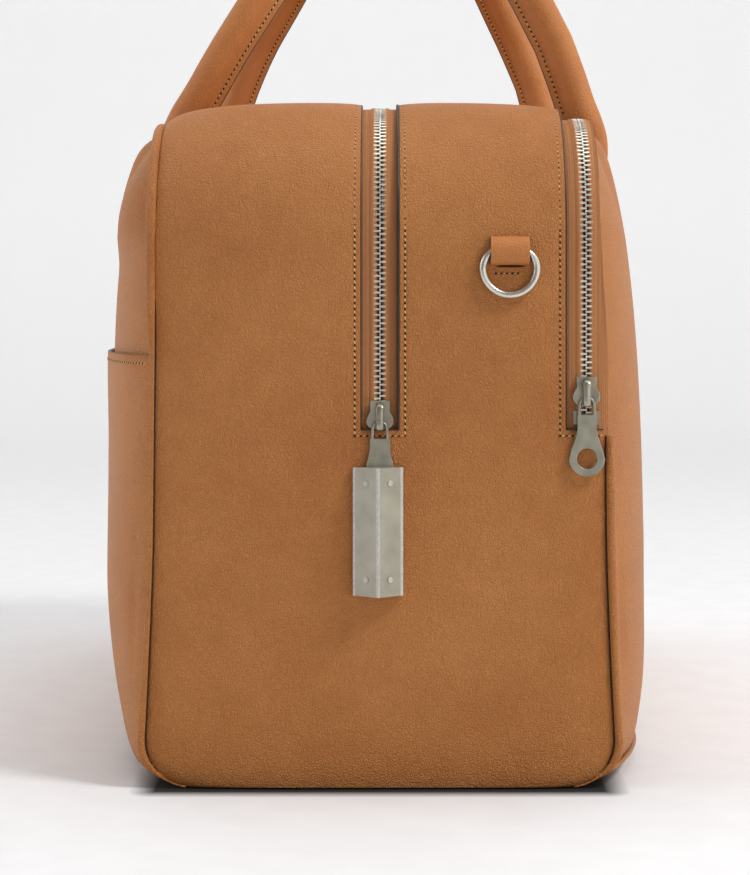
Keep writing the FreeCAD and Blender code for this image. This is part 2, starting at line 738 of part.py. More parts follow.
def handle_base(lean):
    """Flattened end of one leg: a rounded foot on the hinge line, bent to the leg's lean."""
    half = HANDLE_BASE_THICKNESS / 2
    x0 = HANDLE_SPREAD - HANDLE_BASE_HALF
    x1 = HANDLE_SPREAD + HANDLE_BASE_HALF
    y = -HANDLE_AXIS_Y
    foot = Part.makeCylinder(half, x1 - x0, V(x0, y, HANDLE_AXIS_Z), V(1, 0, 0))
    upright = box(x0, x1, y - half, y + half, HANDLE_AXIS_Z, HANDLE_BASE_TOP_Z)
    outline = [
        V(x0, y - half, HANDLE_BASE_TOP_Z),
        V(x1, y - half, HANDLE_BASE_TOP_Z),
        V(x1, y + half, HANDLE_BASE_TOP_Z),
        V(x0, y + half, HANDLE_BASE_TOP_Z),
    ]
    face = Part.Face(Part.makePolygon(outline + [outline[0]]))
    pivot = V(0, y + HANDLE_BEND_R, HANDLE_BASE_TOP_Z)
    bend = face.revolve(pivot, V(-1, 0, 0), lean)
    up, _ = handle_frame(lean)
    end_face = max(bend.Faces, key=lambda f: f.CenterOfMass.z)
    overlap = end_face.extrude(up * 6.0)
    return foot.multiFuse([upright, bend, overlap]).removeSplitter()


def make_handle(lean):
    """Leather cover of the front handle, and the rope core inside it."""
    base = handle_base(lean)
    hollow = loop_solid(lean, round_section(HANDLE_HOLLOW_R))
    core = loop_solid(lean, round_section(HANDLE_CORE_R))
    up, inward = handle_frame(lean)
    disc = Part.makeCylinder(FLANGE_REACH + 1.0, 7.0, bend_end(lean) - up * 0.5, up)
    plugs = disc.fuse(mirror_x(disc))
    hollow = hollow.cut(plugs)
    core = core.cut(plugs)
    shell = loop_solid(lean, flanged_section).cut(hollow)
    cover = shell.multiFuse([base, mirror_x(base)]).removeSplitter()
    return cover, core


# ---------------------------------------------------------------- linings
def make_lining(y0, y1):
    """Open-topped fabric box, cut to the round shoulders."""
    half = LINING_HALF_LENGTH
    t = LINING_THICKNESS
    outer = box(-half, half, y0, y1, LINING_Z, LINING_TOP_Z)
    inner = box(-half + t, half - t, y0 + t, y1 - t, LINING_Z + t, FAR)
    room = half_body(HALF_LENGTH - half, 0.0, [-106.0, -53.0, 0.0, 53.0, 106.0])
    room = room.fuse(mirror_x(room))
    return outer.cut(inner).common(room)


def make_divider():
    """Padded wall between the main and the rear compartment."""
    half = LINING_HALF_LENGTH
    wall = box(-half, half, DIVIDER_Y + LINING_CLEARANCE,
               DIVIDER_Y + LINING_CLEARANCE + DIVIDER_THICKNESS, LINING_Z, LINING_TOP_Z)
    room = half_body(HALF_LENGTH - half, 0.0, [-106.0, -53.0, 0.0, 53.0, 106.0])
    return wall.common(room.fuse(mirror_x(room)))


def build_body():
    """Leather body, its piping and what stiffens it."""
    gusset = make_gusset()
    save("gusset_right", gusset)
    save("gusset_left", mirror_x(gusset))
    save("base_panel", make_base_panel())
    save("base_board", make_base_board())
    save("feet", make_feet())
    save("foot_washers", make_washers())
    save("front_panel", make_face_panel(FRONT_RINGS, -1))
    save("back_panel", make_face_panel(BACK_RINGS, 1))
    save("front_pocket_panel", make_pocket())
    cover, cord = make_piping()
    save("front_piping", cover)
    save("front_piping_cord", cord)
    below_zip = box(-FAR, FAR, -FAR, FAR, -1, WINDOW_LOW_Z - 1.0)
    save("back_piping", mirror_y(cover).common(below_zip))
    save("back_piping_cord", mirror_y(cord).common(below_zip))
    rear_start = DIVIDER_Y + DIVIDER_THICKNESS + 2 * LINING_CLEARANCE
    save("main_lining", make_lining(LINING_FRONT_Y, DIVIDER_Y))
    save("rear_lining", make_lining(rear_start, LINING_BACK_Y))
    save("divider_panel", make_divider())


def build_zips():
    """Tapes, teeth, stops, sliders and pulls."""
    near = CHAIN_GAP + TOOTH_LENGTH + 0.1
    zips = [
        ("main_zip", 0.0, near + TAPE_WIDTH, near + TAPE_WIDTH, MAIN_CHAIN_LOW, MAIN_STOP),
        ("rear_zip", REAR_ZIP_Y, near + TAPE_WIDTH, REAR_TAPE_EDGE_Y - REAR_ZIP_Y,
         REAR_CHAIN_LOW, REAR_STOP),
    ]
    for name, y, front_reach, back_reach, chain_low, stop in zips:
        save(name + "_tape_front", make_tape(y, y - front_reach, y - near))
        save(name + "_tape_back", make_tape(y, y + near, y + back_reach))
        save(name + "_teeth_front", make_teeth(y, chain_low, -1))
        save(name + "_teeth_back", make_teeth(y, chain_low, 1))
        save(name + "_stops", make_stops(y, stop))
    slider = make_slider(0.0, MAIN_SLIDER_Z)
    pull = make_main_pull(0.0, MAIN_SLIDER_Z)
    save("main_slider_right", slider)
    save("main_slider_left", mirror_x(slider))
    save("main_pull_right", pull)
    save("main_pull_left", mirror_x(pull))
    save("pull_tag", make_tag(MAIN_SLIDER_Z))
    save("rear_slider", make_slider(REAR_ZIP_Y, REAR_SLIDER_Z))
    save("rear_pull", make_ring_pull(REAR_ZIP_Y, REAR_SLIDER_Z))


def build_hardware():
    """Rings, handles and the tabs that hold them."""
    ring = make_d_ring()
    loop = make_ring_tab()
    save("d_ring_right", ring)
    save("ring_loop_right", loop)
    save("d_ring_left", mirror_x(ring))
    save("ring_loop_left", mirror_x(loop))
    cover, core = make_handle(FRONT_LEAN)
    save("front_handle", cover)
    save("front_handle_core", core)
    cover, core = make_handle(BACK_LEAN)
    save("back_handle", mirror_y(cover))
    save("back_handle_core", mirror_y(core))
    for name, rings, side in (("front", FRONT_RINGS, -1), ("back", BACK_RINGS, 1)):
        save(name + "_handle_tab_right", make_handle_tab(rings, side, HANDLE_SPREAD))
        save(name + "_handle_tab_left", make_handle_tab(rings, side, -HANDLE_SPREAD))


os.makedirs("parts", exist_ok=True)
build_body()
build_zips()
build_hardware()
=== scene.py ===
"""Looks of the weekender bag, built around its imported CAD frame. Lengths in millimetres until a
mesh is made; +X is the end with the tag, -Y the pocket face, +Z up."""

import json
import math

import bpy
import numpy as np
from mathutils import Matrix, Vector


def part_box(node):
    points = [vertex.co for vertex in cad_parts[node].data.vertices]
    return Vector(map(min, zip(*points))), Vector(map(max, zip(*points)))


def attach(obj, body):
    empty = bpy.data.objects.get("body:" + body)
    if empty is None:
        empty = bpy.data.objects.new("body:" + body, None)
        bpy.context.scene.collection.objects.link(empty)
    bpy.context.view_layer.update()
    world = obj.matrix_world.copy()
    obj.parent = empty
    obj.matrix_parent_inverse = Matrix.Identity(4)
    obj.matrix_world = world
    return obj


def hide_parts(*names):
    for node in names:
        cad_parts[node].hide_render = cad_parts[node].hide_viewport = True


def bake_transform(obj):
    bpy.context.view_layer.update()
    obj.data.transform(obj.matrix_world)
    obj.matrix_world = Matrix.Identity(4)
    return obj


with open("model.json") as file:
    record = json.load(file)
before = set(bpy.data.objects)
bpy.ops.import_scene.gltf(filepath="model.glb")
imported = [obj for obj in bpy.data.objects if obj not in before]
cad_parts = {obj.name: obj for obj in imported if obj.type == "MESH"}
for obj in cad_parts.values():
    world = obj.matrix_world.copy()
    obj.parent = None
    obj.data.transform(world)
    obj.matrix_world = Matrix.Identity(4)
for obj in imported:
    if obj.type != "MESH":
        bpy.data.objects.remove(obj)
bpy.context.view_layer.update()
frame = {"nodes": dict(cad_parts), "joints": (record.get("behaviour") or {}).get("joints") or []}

MM = 0.001
EX = np.array([1.0, 0.0, 0.0])
EY = np.array([0.0, 1.0, 0.0])
EZ = np.array([0.0, 0.0, 1.0])
MIRROR = np.array([-1, 1, 1])


def node_box(name):
    """Lowest and highest corners of a CAD node, in millimetres."""
    low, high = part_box(name)
    return np.array(low) / MM, np.array(high) / MM


# ---------------------------------------------------------------- sizes from the frame
GUSSET_LOW, GUSSET_HIGH = node_box("gusset_right")
BACK_PIPING_TOP = node_box("back_piping")[1][2]
MAIN_SLIDER_LOW, MAIN_SLIDER_HIGH = node_box("main_slider_right")
REAR_SLIDER_LOW, REAR_SLIDER_HIGH = node_box("rear_slider")
CHAIN_FOOT = node_box("main_zip_teeth_front")[0][2]
TAG_LOW, TAG_HIGH = node_box("pull_tag")
RING_LOW, RING_HIGH = node_box("d_ring_right")
LOOP_LOW, LOOP_HIGH = node_box("ring_loop_right")
TAB_LOW, TAB_HIGH = node_box("front_handle_tab_right")
POCKET_TOP = node_box("front_pocket_panel")[1][2]

HALF_LENGTH = GUSSET_HIGH[0]
BASE_Z = GUSSET_LOW[2]
SHOULDER_Z = 262.0
LEATHER = 2.0
LIP_THICK = 0.6
LIP_BELOW = 0.4
TAB_THICK = 1.6
TAPE_THICK = 0.7
SEAM_TOP = 317.0
CROWN = 12.6
CROWN_HALF = 106.6
WALL_LOW = 0.7
CORNER_Z = 23.0
CORNER_R = CORNER_Z - WALL_LOW
FLARE_Z = 120.0
FLARE = 3.0
SEAM_MID = 107.9
SEAM_TILT = 0.0096
CORNER_Y = SEAM_MID + SEAM_TILT * (FLARE_Z - CORNER_Z) + FLARE - CORNER_R
EDGE_DROP = 1.5
EDGE_SOFT = 3.5

WINDOW_Z = 170.0
WINDOW_HALF = 9.0
REAR_EDGE_Y = 88.0
REAR_ZIP_Y = 0.5 * (REAR_SLIDER_LOW[1] + REAR_SLIDER_HIGH[1])
TAPE_INSET = 3.6
TOP_INSET = 4.2
CHAIN_HALF = 3.4
PITCH = 2.64

FACE_HALF = 236.2
FACE_Z0 = 10.0
FACE_Z1 = 315.0
FACE_SHOULDER_R = FACE_Z1 - SHOULDER_Z

HANDLE_X = 0.5 * (TAB_LOW[0] + TAB_HIGH[0])


# ---------------------------------------------------------------- mesh helpers
def make_object(name, verts, faces, materials, indices=None, uvs=None, smooth=True):
    """Mesh object from millimetre points; indices gives each face's material."""
    mesh = bpy.data.meshes.new(name)
    mesh.from_pydata([tuple(float(c) * MM for c in v) for v in verts], [], faces)
    for material in materials:
        mesh.materials.append(material)
    if indices is not None:
        mesh.polygons.foreach_set("material_index", indices)
    mesh.polygons.foreach_set("use_smooth", [smooth] * len(mesh.polygons))
    if uvs is not None:
        layer = mesh.uv_layers.new(name="UVMap")
        for loop in mesh.loops:
            layer.data[loop.index].uv = uvs[loop.vertex_index]
    mesh.update()
    obj = bpy.data.objects.new(name, mesh)
    bpy.context.scene.collection.objects.link(obj)
    return obj


def grid(rows, keep=None, wrap=False, flip=False):
    """Points and quads of a sheet given as rows of points."""
    count = len(rows)
    width = len(rows[0])
    verts = [p for row in rows for p in row]
    faces = []
    for i in range(count - 1):
        for j in range(width if wrap else width - 1):
            if keep is not None and not keep(i, j):
                continue
            k = (j + 1) % width
            quad = (i * width + j, i * width + k, (i + 1) * width + k, (i + 1) * width + j)
            faces.append(quad[::-1] if flip else quad)
    return verts, faces


def merge(parts):
    """Several (points, faces) as one."""
    verts = []
    faces = []
    for part_verts, part_faces in parts:
        base = len(verts)
        verts.extend(part_verts)
        faces.extend(tuple(base + i for i in f) for f in part_faces)
    return verts, faces


def thicken(obj, depth, rim_material=0, even=True):
    """Gives a sheet its thickness, inwards, with its own material on the cut edges."""
    solid = obj.modifiers.new("thickness", "SOLIDIFY")
    solid.thickness = depth * MM
    solid.offset = -1.0
    solid.use_even_offset = even
    solid.material_offset_rim = rim_material


def bevel(obj, width, segments=3, angle=35.0):
    """Rounds the sharp edges."""
    mod = obj.modifiers.new("bevel", "BEVEL")
    mod.width = width * MM
    mod.segments = segments
    mod.limit_method = "ANGLE"
    mod.angle_limit = math.radians(angle)
    mod.harden_normals = True


def unit(v):
    """Vector of length one."""
    v = np.array(v, float)
    return v / max(np.linalg.norm(v), 1e-9)


def tangents(points):
    """Direction of a line at each of its points."""
    last = len(points) - 1
    return [unit(points[min(k + 1, last)] - points[max(k - 1, 0)]) for k in range(last + 1)]


def smooth_step(a, b, t):
    """0 before a, 1 after b, with a soft change between."""
    t = min(max((t - a) / (b - a), 0.0), 1.0)
    return t * t * (3 - 2 * t)


def spline(points, steps):
    """Smooth curve through a few points (Catmull-Rom)."""
    pts = [np.array(p, float) for p in points]
    pts = [2 * pts[0] - pts[1]] + pts + [2 * pts[-1] - pts[-2]]
    out = []
    for i in range(1, len(pts) - 2):
        a, b, c, d = pts[i - 1:i + 3]
        for k in range(steps):
            t = k / steps
            out.append(0.5 * ((2 * b) + (c - a) * t + (2 * a - 5 * b + 4 * c - d) * t * t
                              + (3 * b - a - 3 * c + d) * t ** 3))
    out.append(pts[-2])
    return out


def resample(points, spacing):
    """Evenly spaced points along a polyline, at about the given spacing."""
    pts = np.array(points, float)
    steps = np.linalg.norm(np.diff(pts, axis=0), axis=1)
    along = np.concatenate([[0], np.cumsum(steps)])
    count = max(2, int(round(along[-1] / spacing)) + 1)
    wanted = np.linspace(0, along[-1], count)
    return np.stack([np.interp(wanted, along, pts[:, k]) for k in range(3)], axis=1)


def sweep(centres, normals, sides, section, close=True):
    """Tube of any section: section is (along normal, along side) pairs, or a maker of them."""
    rows = []
    for index, (c, n, s) in enumerate(zip(centres, normals, sides)):
        outline = section(index) if callable(section) else section
        rows.append([c + n * a + s * b for a, b in outline])
    verts, faces = grid(rows, wrap=close)
    if close:
        width = len(rows[0])
        faces.append(tuple(range(width))[::-1])
        faces.append(tuple((len(rows) - 1) * width + k for k in range(width)))
    return verts, faces


def quarter(count):
    """Even angles from 0 to a right angle."""
    return [math.pi / 2 * k / count for k in range(count + 1)]


def circle(radius, count):
    """Points of a circle as (along normal, along side)."""
    return [(radius * math.cos(2 * math.pi * k / count), radius * math.sin(2 * math.pi * k / count))
            for k in range(count)]


def both_sides(half):
    """Outline of a symmetrical shape from the points of its left half."""
    return half + [(-a, b) for a, b in reversed(half)]


def mirror_part(part, sign):
    """The part at this end (1) or the other (-1)."""
    verts, faces = part
    if sign > 0:
        return part
    return [v * MIRROR for v in verts], [f[::-1] for f in faces]


def prism(outline, origin, depth):
    """Flat plate: outline in (y, z) from the origin, pushed along x."""
    low = [origin + EY * a + EZ * b for a, b in outline]
    high = [p + EX * depth for p in low]
    n = len(outline)
    faces = [tuple(range(n))[::-1], tuple(range(n, 2 * n))]
    for k in range(n):
        m = (k + 1) % n
        faces.append((k, m, n + m, n + k))
    return low + high, faces


# ---------------------------------------------------------------- materials
def srgb(r, g, b):
    """Linear colour from 0-255 values."""
    out = []
    for c in (r, g, b):
        c = c / 255.0
        out.append(c / 12.92 if c <= 0.04045 else ((c + 0.055) / 1.055) ** 2.4)
    return (*out, 1.0)


BLACK = (0.0, 0.0, 0.0, 1.0)
WHITE = (1.0, 1.0, 1.0, 1.0)


class Nodes:
    """Short way to write a material's node tree."""

    def __init__(self, name):
        self.material = bpy.data.materials.new(name)
        self.material.use_nodes = True
        self.tree = self.material.node_tree
        self.tree.nodes.clear()
        self.out = self.tree.nodes.new("ShaderNodeOutputMaterial")
        self.bsdf = self.tree.nodes.new("ShaderNodeBsdfPrincipled")
        self.link(self.bsdf.outputs["BSDF"], self.out.inputs["Surface"])

    def link(self, a, b):
        self.tree.links.new(a, b)

    def add(self, kind, **values):
        node = self.tree.nodes.new(kind)
        for key, value in values.items():
            if hasattr(node, key):
                setattr(node, key, value)
            else:
                node.inputs[key].default_value = value
        return node

    def set(self, **values):
        for key, value in values.items():
            self.bsdf.inputs[key.replace("_", " ")].default_value = value

    def coords(self, source="Object"):
        return self.add("ShaderNodeTexCoord").outputs[source]

    def texture(self, vector, kind, output, **values):
        node = self.add(kind, **values)
        self.link(vector, node.inputs["Vector"])
        return node.outputs[output]

    def noise(self, vector, scale, detail=3.0, roughness=0.5):
        return self.texture(vector, "ShaderNodeTexNoise", "Fac", Scale=scale, Detail=detail,
                            Roughness=roughness)

    def cells(self, vector, scale, edge):
        """White cells with dark lines between them; edge is how far the dark reaches."""
        far = self.texture(vector, "ShaderNodeTexVoronoi", "Distance", Scale=scale,
                           feature="DISTANCE_TO_EDGE")
        return self.ramp(far, [(0.0, BLACK), (edge, WHITE)])

    def wave(self, scale, distortion):
        return self.texture(self.coords(), "ShaderNodeTexWave", "Fac", Scale=scale,
                            Distortion=distortion)

    def multiply(self, share, a, b):
        """Base colour: a, darkened by b."""
        node = self.add("ShaderNodeMix", data_type="RGBA", blend_type="MULTIPLY")
        node.inputs["Factor"].default_value = share
        self.link(a, node.inputs["A"])
        self.link(b, node.inputs["B"])
        self.link(node.outputs["Result"], self.bsdf.inputs["Base Color"])

    def ramp(self, factor, stops):
        node = self.tree.nodes.new("ShaderNodeValToRGB")
        ramp = node.color_ramp
        while len(ramp.elements) < len(stops):
            ramp.elements.new(0.5)
        for element, (place, colour) in zip(ramp.elements, stops):
            element.position = place
            element.color = colour
        self.link(factor, node.inputs["Fac"])
        return node.outputs["Color"]

    def math(self, operation, a, b):
        node = self.add("ShaderNodeMath", operation=operation)
        for socket, value in zip(node.inputs, (a, b)):
            if isinstance(value, (int, float)):
                socket.default_value = value
            else:
                self.link(value, socket)
        return node.outputs["Value"]

    def remap(self, value, low, high):
        node = self.add("ShaderNodeMapRange")
        self.link(value, node.inputs["Value"])
        node.inputs["To Min"].default_value = low
        node.inputs["To Max"].default_value = high
        return node.outputs["Result"]

    def bump(self, height, strength, distance):
        node = self.add("ShaderNodeBump", Strength=strength, Distance=distance)
        self.link(height, node.inputs["Height"])
        self.link(node.outputs["Normal"], self.bsdf.inputs["Normal"])

    def paint(self, factor, *stops):
        self.link(self.ramp(factor, stops), self.bsdf.inputs["Base Color"])

    def gloss(self, factor, low, high):
        self.link(self.remap(factor, low, high), self.bsdf.inputs["Roughness"])

    def share(self, *weighted):
        """Sum of values, each with its weight."""
        total = None
        for value, weight in weighted:
            part = self.math("MULTIPLY", value, weight)
            total = part if total is None else self.math("ADD", total, part)
        return total


def leather(name, light, mid, dark, grain=1.0):
    """Fine-grained calf leather: small pebbles, soft creases and uneven colour, with painted shade
    darkening the grain's hollows.
    """
    m = Nodes(name)
    place = m.coords()
    wander = m.noise(place, 300.0, 2.0)
    bent = m.add("ShaderNodeVectorMath", operation="ADD")
    m.link(place, bent.inputs[0])
    shift = m.add("ShaderNodeVectorMath", operation="SCALE", Scale=0.0011)
    m.link(wander, shift.inputs[0])
    m.link(shift.outputs[0], bent.inputs[1])
    pebble = m.cells(bent.outputs[0], 820.0, 0.30)
    crease = m.cells(bent.outputs[0], 330.0, 0.16)
    fine = m.noise(place, 1500.0, 2.0)
    broad = m.noise(place, 9.0, 3.0)
    cloud = m.noise(place, 60.0, 4.0, 0.6)
    tone = m.share((broad, 0.6), (cloud, 0.4))
    colour = m.ramp(tone, [(0.30, dark), (0.5, mid), (0.72, light)])
    height = m.share((pebble, 0.6), (crease, 0.3), (fine, 0.5))
    # painted shade: the base colour darkens where the grain's height is low, standing for shade in its
    # hollows
    grain_hollow_shade = m.ramp(height, [(0.25, (0.25, 0.2, 0.16, 1)), (1.1, WHITE)])
    m.multiply(0.22 * grain, colour, grain_hollow_shade)
    m.gloss(cloud, 0.40, 0.53)
    m.bump(height, 0.75 * grain, 0.0009)
    m.set(Specular_IOR_Level=0.28)
    return m.material


def painted_edge():
    """Dark edge paint: smooth, slightly uneven, a little shiny."""
    m = Nodes("edge_paint")
    lumps = m.noise(m.coords(), 260.0, 3.0)
    m.paint(lumps, (0.3, srgb(24, 16, 12)), (0.7, srgb(48, 33, 24)))
    m.gloss(lumps, 0.34, 0.5)
    m.bump(lumps, 0.2, 0.0003)
    return m.material


def thread():
    """Waxed twisted thread."""
    m = Nodes("thread")
    twist = m.wave(420.0, 1.5)
    m.paint(twist, (0.0, srgb(190, 138, 76)), (1.0, srgb(236, 190, 122)))
    m.bump(twist, 0.4, 0.0002)
    m.set(Roughness=0.6)
    return m.material


def hole_and_gap_shade():
    """Painted shade: near-black colour standing for the shadow inside needle holes, the seam gap and
    the slit under each ring loop.
    """
    m = Nodes("painted_hole_shade")
    m.paint(m.noise(m.coords(), 900.0), (0.3, srgb(26, 14, 8)), (0.7, srgb(52, 29, 15)))
    m.set(Roughness=0.9)
    return m.material


def nickel(name, low, high, rough=0.33):
    """Satin nickel with a fine blasted grain and rubbed patches."""
    m = Nodes(name)
    place = m.coords()
    grain = m.noise(place, 2600.0, 2.0)
    patches = m.noise(place, 160.0, 4.0)
    m.paint(patches, (0.3, low), (0.7, high))
    m.gloss(patches, rough - 0.05, rough + 0.08)
    m.bump(grain, 0.10, 0.00008)
    m.set(Metallic=1.0)
    return m.material


def woven_tape():
    """Zip tape: a close herringbone weave along the strip's own UVs, darker where the weave is low as
    painted shade.
    """
    m = Nodes("zip_tape_weave")
    parts = m.add("ShaderNodeSeparateXYZ")
    m.link(m.coords("UV"), parts.inputs["Vector"])
    along = m.math("MULTIPLY", parts.outputs["X"], 1.2)
    across = parts.outputs["Y"]
    ribs = m.math("PINGPONG", m.math("ADD", along, m.math("PINGPONG", across, 1.0)), 0.5)
    cords = m.math("PINGPONG", m.math("MULTIPLY", across, 0.85), 0.5)
    height = m.share((ribs, 1.7), (cords, 0.4))
    fuzz = m.noise(m.coords(), 1500.0, 4.0)
    # painted shade: the colour follows the weave's height, darkest where it is low
    m.paint(m.share((height, 0.75), (fuzz, 0.35)), (0.10, srgb(96, 50, 22)),
            (0.55, srgb(196, 124, 70)), (1.0, srgb(240, 172, 112)))
    m.bump(height, 0.9, 0.0005)
    m.set(Roughness=0.82)
    return m.material


def frosted():
    """Frosted clear plastic, greyish, cloudy inside."""
    m = Nodes("frosted_plastic")
    place = m.coords()
    haze = m.noise(place, 90.0, 5.0)
    speck = m.noise(place, 1600.0, 2.0)
    m.paint(haze, (0.3, srgb(158, 154, 130)), (0.7, srgb(188, 184, 160)))
    m.gloss(haze, 0.30, 0.46)
    m.bump(speck, 0.12, 0.0001)
    m.set(Transmission_Weight=0.45, IOR=1.45)
    return m.material


def tag_mark_and_highlight():
    """Paler frosted plastic for the sunk round marks of the tag, also used as a painted highlight on
    its ridge and side bevels.
    """
    m = Nodes("tag_mark_and_highlight")
    haze = m.noise(m.coords(), 700.0, 3.0)
    m.paint(haze, (0.3, srgb(205, 200, 188)), (0.7, srgb(232, 229, 220)))
    m.set(Roughness=0.4, Transmission_Weight=0.3)
    return m.material


def cloth(name, low, high, pitch):
    """Plain woven cloth or cord for what is inside."""
    m = Nodes(name)
    mix = m.share((m.wave(pitch, 0.6), 0.5), (m.noise(m.coords(), 240.0, 4.0), 0.5))
    m.paint(mix, (0.2, low), (0.8, high))
    m.bump(mix, 0.5, 0.0003)
    m.set(Roughness=0.85)
    return m.material


HIDE = leather("bag_leather", srgb(200, 132, 73), srgb(190, 122, 63), srgb(179, 110, 54))
STRAP = leather("strap_leather", srgb(200, 131, 74), srgb(189, 119, 64), srgb(177, 107, 55), 0.5)
PAINT = painted_edge()
THREAD = thread()
# painted shade for holes and gaps, not a colour of the leather
HOLE_SHADE = hole_and_gap_shade()
NICKEL = nickel("satin_nickel", srgb(150, 144, 128), srgb(178, 171, 154))
RING = nickel("ring_nickel", srgb(208, 203, 192), srgb(222, 218, 208), 0.27)
PLATE = nickel("plate_nickel", srgb(146, 143, 128), srgb(170, 166, 150), 0.4)
TEETH = nickel("teeth_nickel", srgb(200, 195, 182), srgb(238, 234, 222), 0.4)
TAPE = woven_tape()
FROSTED = frosted()
MARK_AND_HIGHLIGHT = tag_mark_and_highlight()
LINING = cloth("lining_twill", srgb(120, 88, 58), srgb(152, 116, 80), 420.0)
CORD = cloth("cotton_cord", srgb(168, 150, 122), srgb(204, 190, 162), 300.0)
BOARD = cloth("pressed_board", srgb(38, 32, 28), srgb(62, 54, 46), 60.0)


def paint_node(name, material):
    """Gives a CAD node that is shown as it is a finished material."""
    obj = frame["nodes"][name]
    for material_slot in obj.material_slots:
        material_slot.material = material
    if not obj.material_slots:
        obj.data.materials.append(material)


def piece(name, part, materials, body, slot_name, *nodes, thick=None, rounded=None, **options):
    """Object from (points, faces) on its body, with the CAD nodes it stands for hidden; slot_name is
    not used.
    """
    obj = make_object(name, *part, materials, **options)
    if thick:
        thicken(obj, *thick)
    if rounded:
        bevel(obj, *rounded)
    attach(obj, body)
    if nodes:
        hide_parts(*nodes)


# ---------------------------------------------------------------- shape of the body
def seam_y(z):
    """Half width of the end wall at height z, at its seams."""
    if z < CORNER_Z:
        reach = max(CORNER_R ** 2 - (CORNER_Z - z) ** 2, 0.0)
        return CORNER_Y + math.sqrt(reach)
    flare = max(FLARE_Z - z, 0.0) / (FLARE_Z - CORNER_Z)
    return SEAM_MID - SEAM_TILT * (z - FLARE_Z) + FLARE * flare ** 1.4


def top_z(y):
    """Height of the top at distance y from the middle: flat, rounded off at the seams."""
    t = min(abs(y) / CROWN_HALF, 1.0)
    return SEAM_TOP + CROWN * math.sqrt(1.0 - t ** 4)


def drop_at_edge(distance):
    """How far the leather dips towards a seam."""
    return EDGE_DROP * math.exp(-max(distance, 0.0) / EDGE_SOFT)


def ripple(x, y, z):
    """Slow unevenness of soft leather."""
    return (0.55 * math.sin(x / 31.0 + 1.3) * math.sin(z / 43.0 + 0.4)
            + 0.45 * math.sin(y / 27.0 + 0.7) * math.sin(z / 35.0 + 2.1)
            + 0.35 * math.sin((x + y) / 19.0) * math.sin(z / 24.0 + 0.9))


def wall_soft(y, z):
    """Hollows and folds of an end wall, always inside its flat face."""
    edge = seam_y(z) - abs(y)
    rounding = 2.3 * math.exp(-edge / 16.0)
    low = 0.5 * math.exp(-(z - WALL_LOW) / 14.0)
    quiet = 1.0 - math.exp(-(abs(z - 160.0) + abs(y - 40.0)) / 60.0)
    hollow = 0.45 * (1.0 + ripple(0.0, y, z)) * quiet
    return rounding + low + hollow


def gusset_point(row, y):
    """Point of the gusset: row is ('wall', z), ('arc', angle) or ('top', share)."""
    kind, value = row
    crest = top_z(y)
    radius = crest - SHOULDER_Z
    centre_x = HALF_LENGTH - radius
    if kind == "wall":
        inset = drop_at_edge(seam_y(value) - abs(y)) + wall_soft(y, value)
        blend = smooth_step(SHOULDER_Z - 60.0, SHOULDER_Z, value)
        inset = inset * (1.0 - 0.6 * blend)
        return np.array([HALF_LENGTH - inset, y, value])
    if kind == "turn":
        return np.array([HALF_LENGTH - 6.0, y, BASE_Z + 0.6])
    if kind == "arc":
        edge = seam_y(SHOULDER_Z + radius * math.sin(value)) - abs(y)
        soft = wall_soft(y, SHOULDER_Z) * (1.0 - value / (math.pi / 2))
        lean = 1.3 * math.exp(-abs(abs(y) - WINDOW_HALF) / 7.0) * math.sin(value)
        r = radius - drop_at_edge(edge) - 0.4 * soft - lean
        return np.array([centre_x + r * math.cos(value), y, SHOULDER_Z + r * math.sin(value)])
    x = value * centre_x
    sag = 1.3 * math.exp(-abs(abs(y) - WINDOW_HALF) / 7.0)
    sag += 1.8 * (1.0 - value ** 2) + 0.5 * (1.0 + ripple(x, y, 0.0)) * (1.0 - value ** 4)
    edge = seam_y(crest) - abs(y)
    return np.array([x, y, crest - drop_at_edge(edge) - sag])


def gusset_rows():
    """Rows of the right half, from the floor up the wall and to the middle of the top."""
    rows = [("turn", WALL_LOW)]
    for angle in quarter(9)[:-1]:
        rows.append(("wall", CORNER_Z - CORNER_R * math.cos(angle)))
    for z in np.linspace(CORNER_Z, WINDOW_Z, 30):
        rows.append(("wall", float(z)))
    for z in np.linspace(WINDOW_Z, SHOULDER_Z, 21)[1:]:
        rows.append(("wall", float(z)))
    rows += [("arc", angle) for angle in quarter(20)[1:-1]]
    rows += [("top", 1.0 - k / 30) for k in range(31)]
    return rows


def row_width(row):
    """Half width at the seam for one row."""
    kind, value = row
    if kind in ("wall", "turn"):
        return seam_y(value)
    if kind == "arc":
        return seam_y(SHOULDER_Z + (SEAM_TOP - SHOULDER_Z) * math.sin(value))
    return seam_y(SEAM_TOP + 1.0)


STITCH_OFFSET = 2.9
STITCH_DIP = 0.35
CHANNEL = 0.9
LOW_STITCH_Z = WINDOW_Z - STITCH_OFFSET
MAIN_STITCH_Y = WINDOW_HALF + STITCH_OFFSET
REAR_STITCH_Y = REAR_EDGE_Y - STITCH_OFFSET


def gusset_columns():
    """Places of the gusset's columns, closer together at its edges and stitches."""
    free = WINDOW_HALF + 5.0
    inner = list(np.linspace(-REAR_EDGE_Y, -free, 20))
    inner += channel(-MAIN_STITCH_Y) + [-WINDOW_HALF - CHANNEL, -WINDOW_HALF, -4.5, 0.0, 4.5]
    inner += [WINDOW_HALF, WINDOW_HALF + CHANNEL] + channel(MAIN_STITCH_Y) + [free]
    inner += list(np.linspace(free, REAR_STITCH_Y - 2.5, 18)[1:])
    return inner + channel(REAR_STITCH_Y) + [REAR_EDGE_Y - CHANNEL, REAR_EDGE_Y]


def channel(y):
    """Three columns for the channel of a row of stitches."""
    return [y - CHANNEL, y, y + CHANNEL]


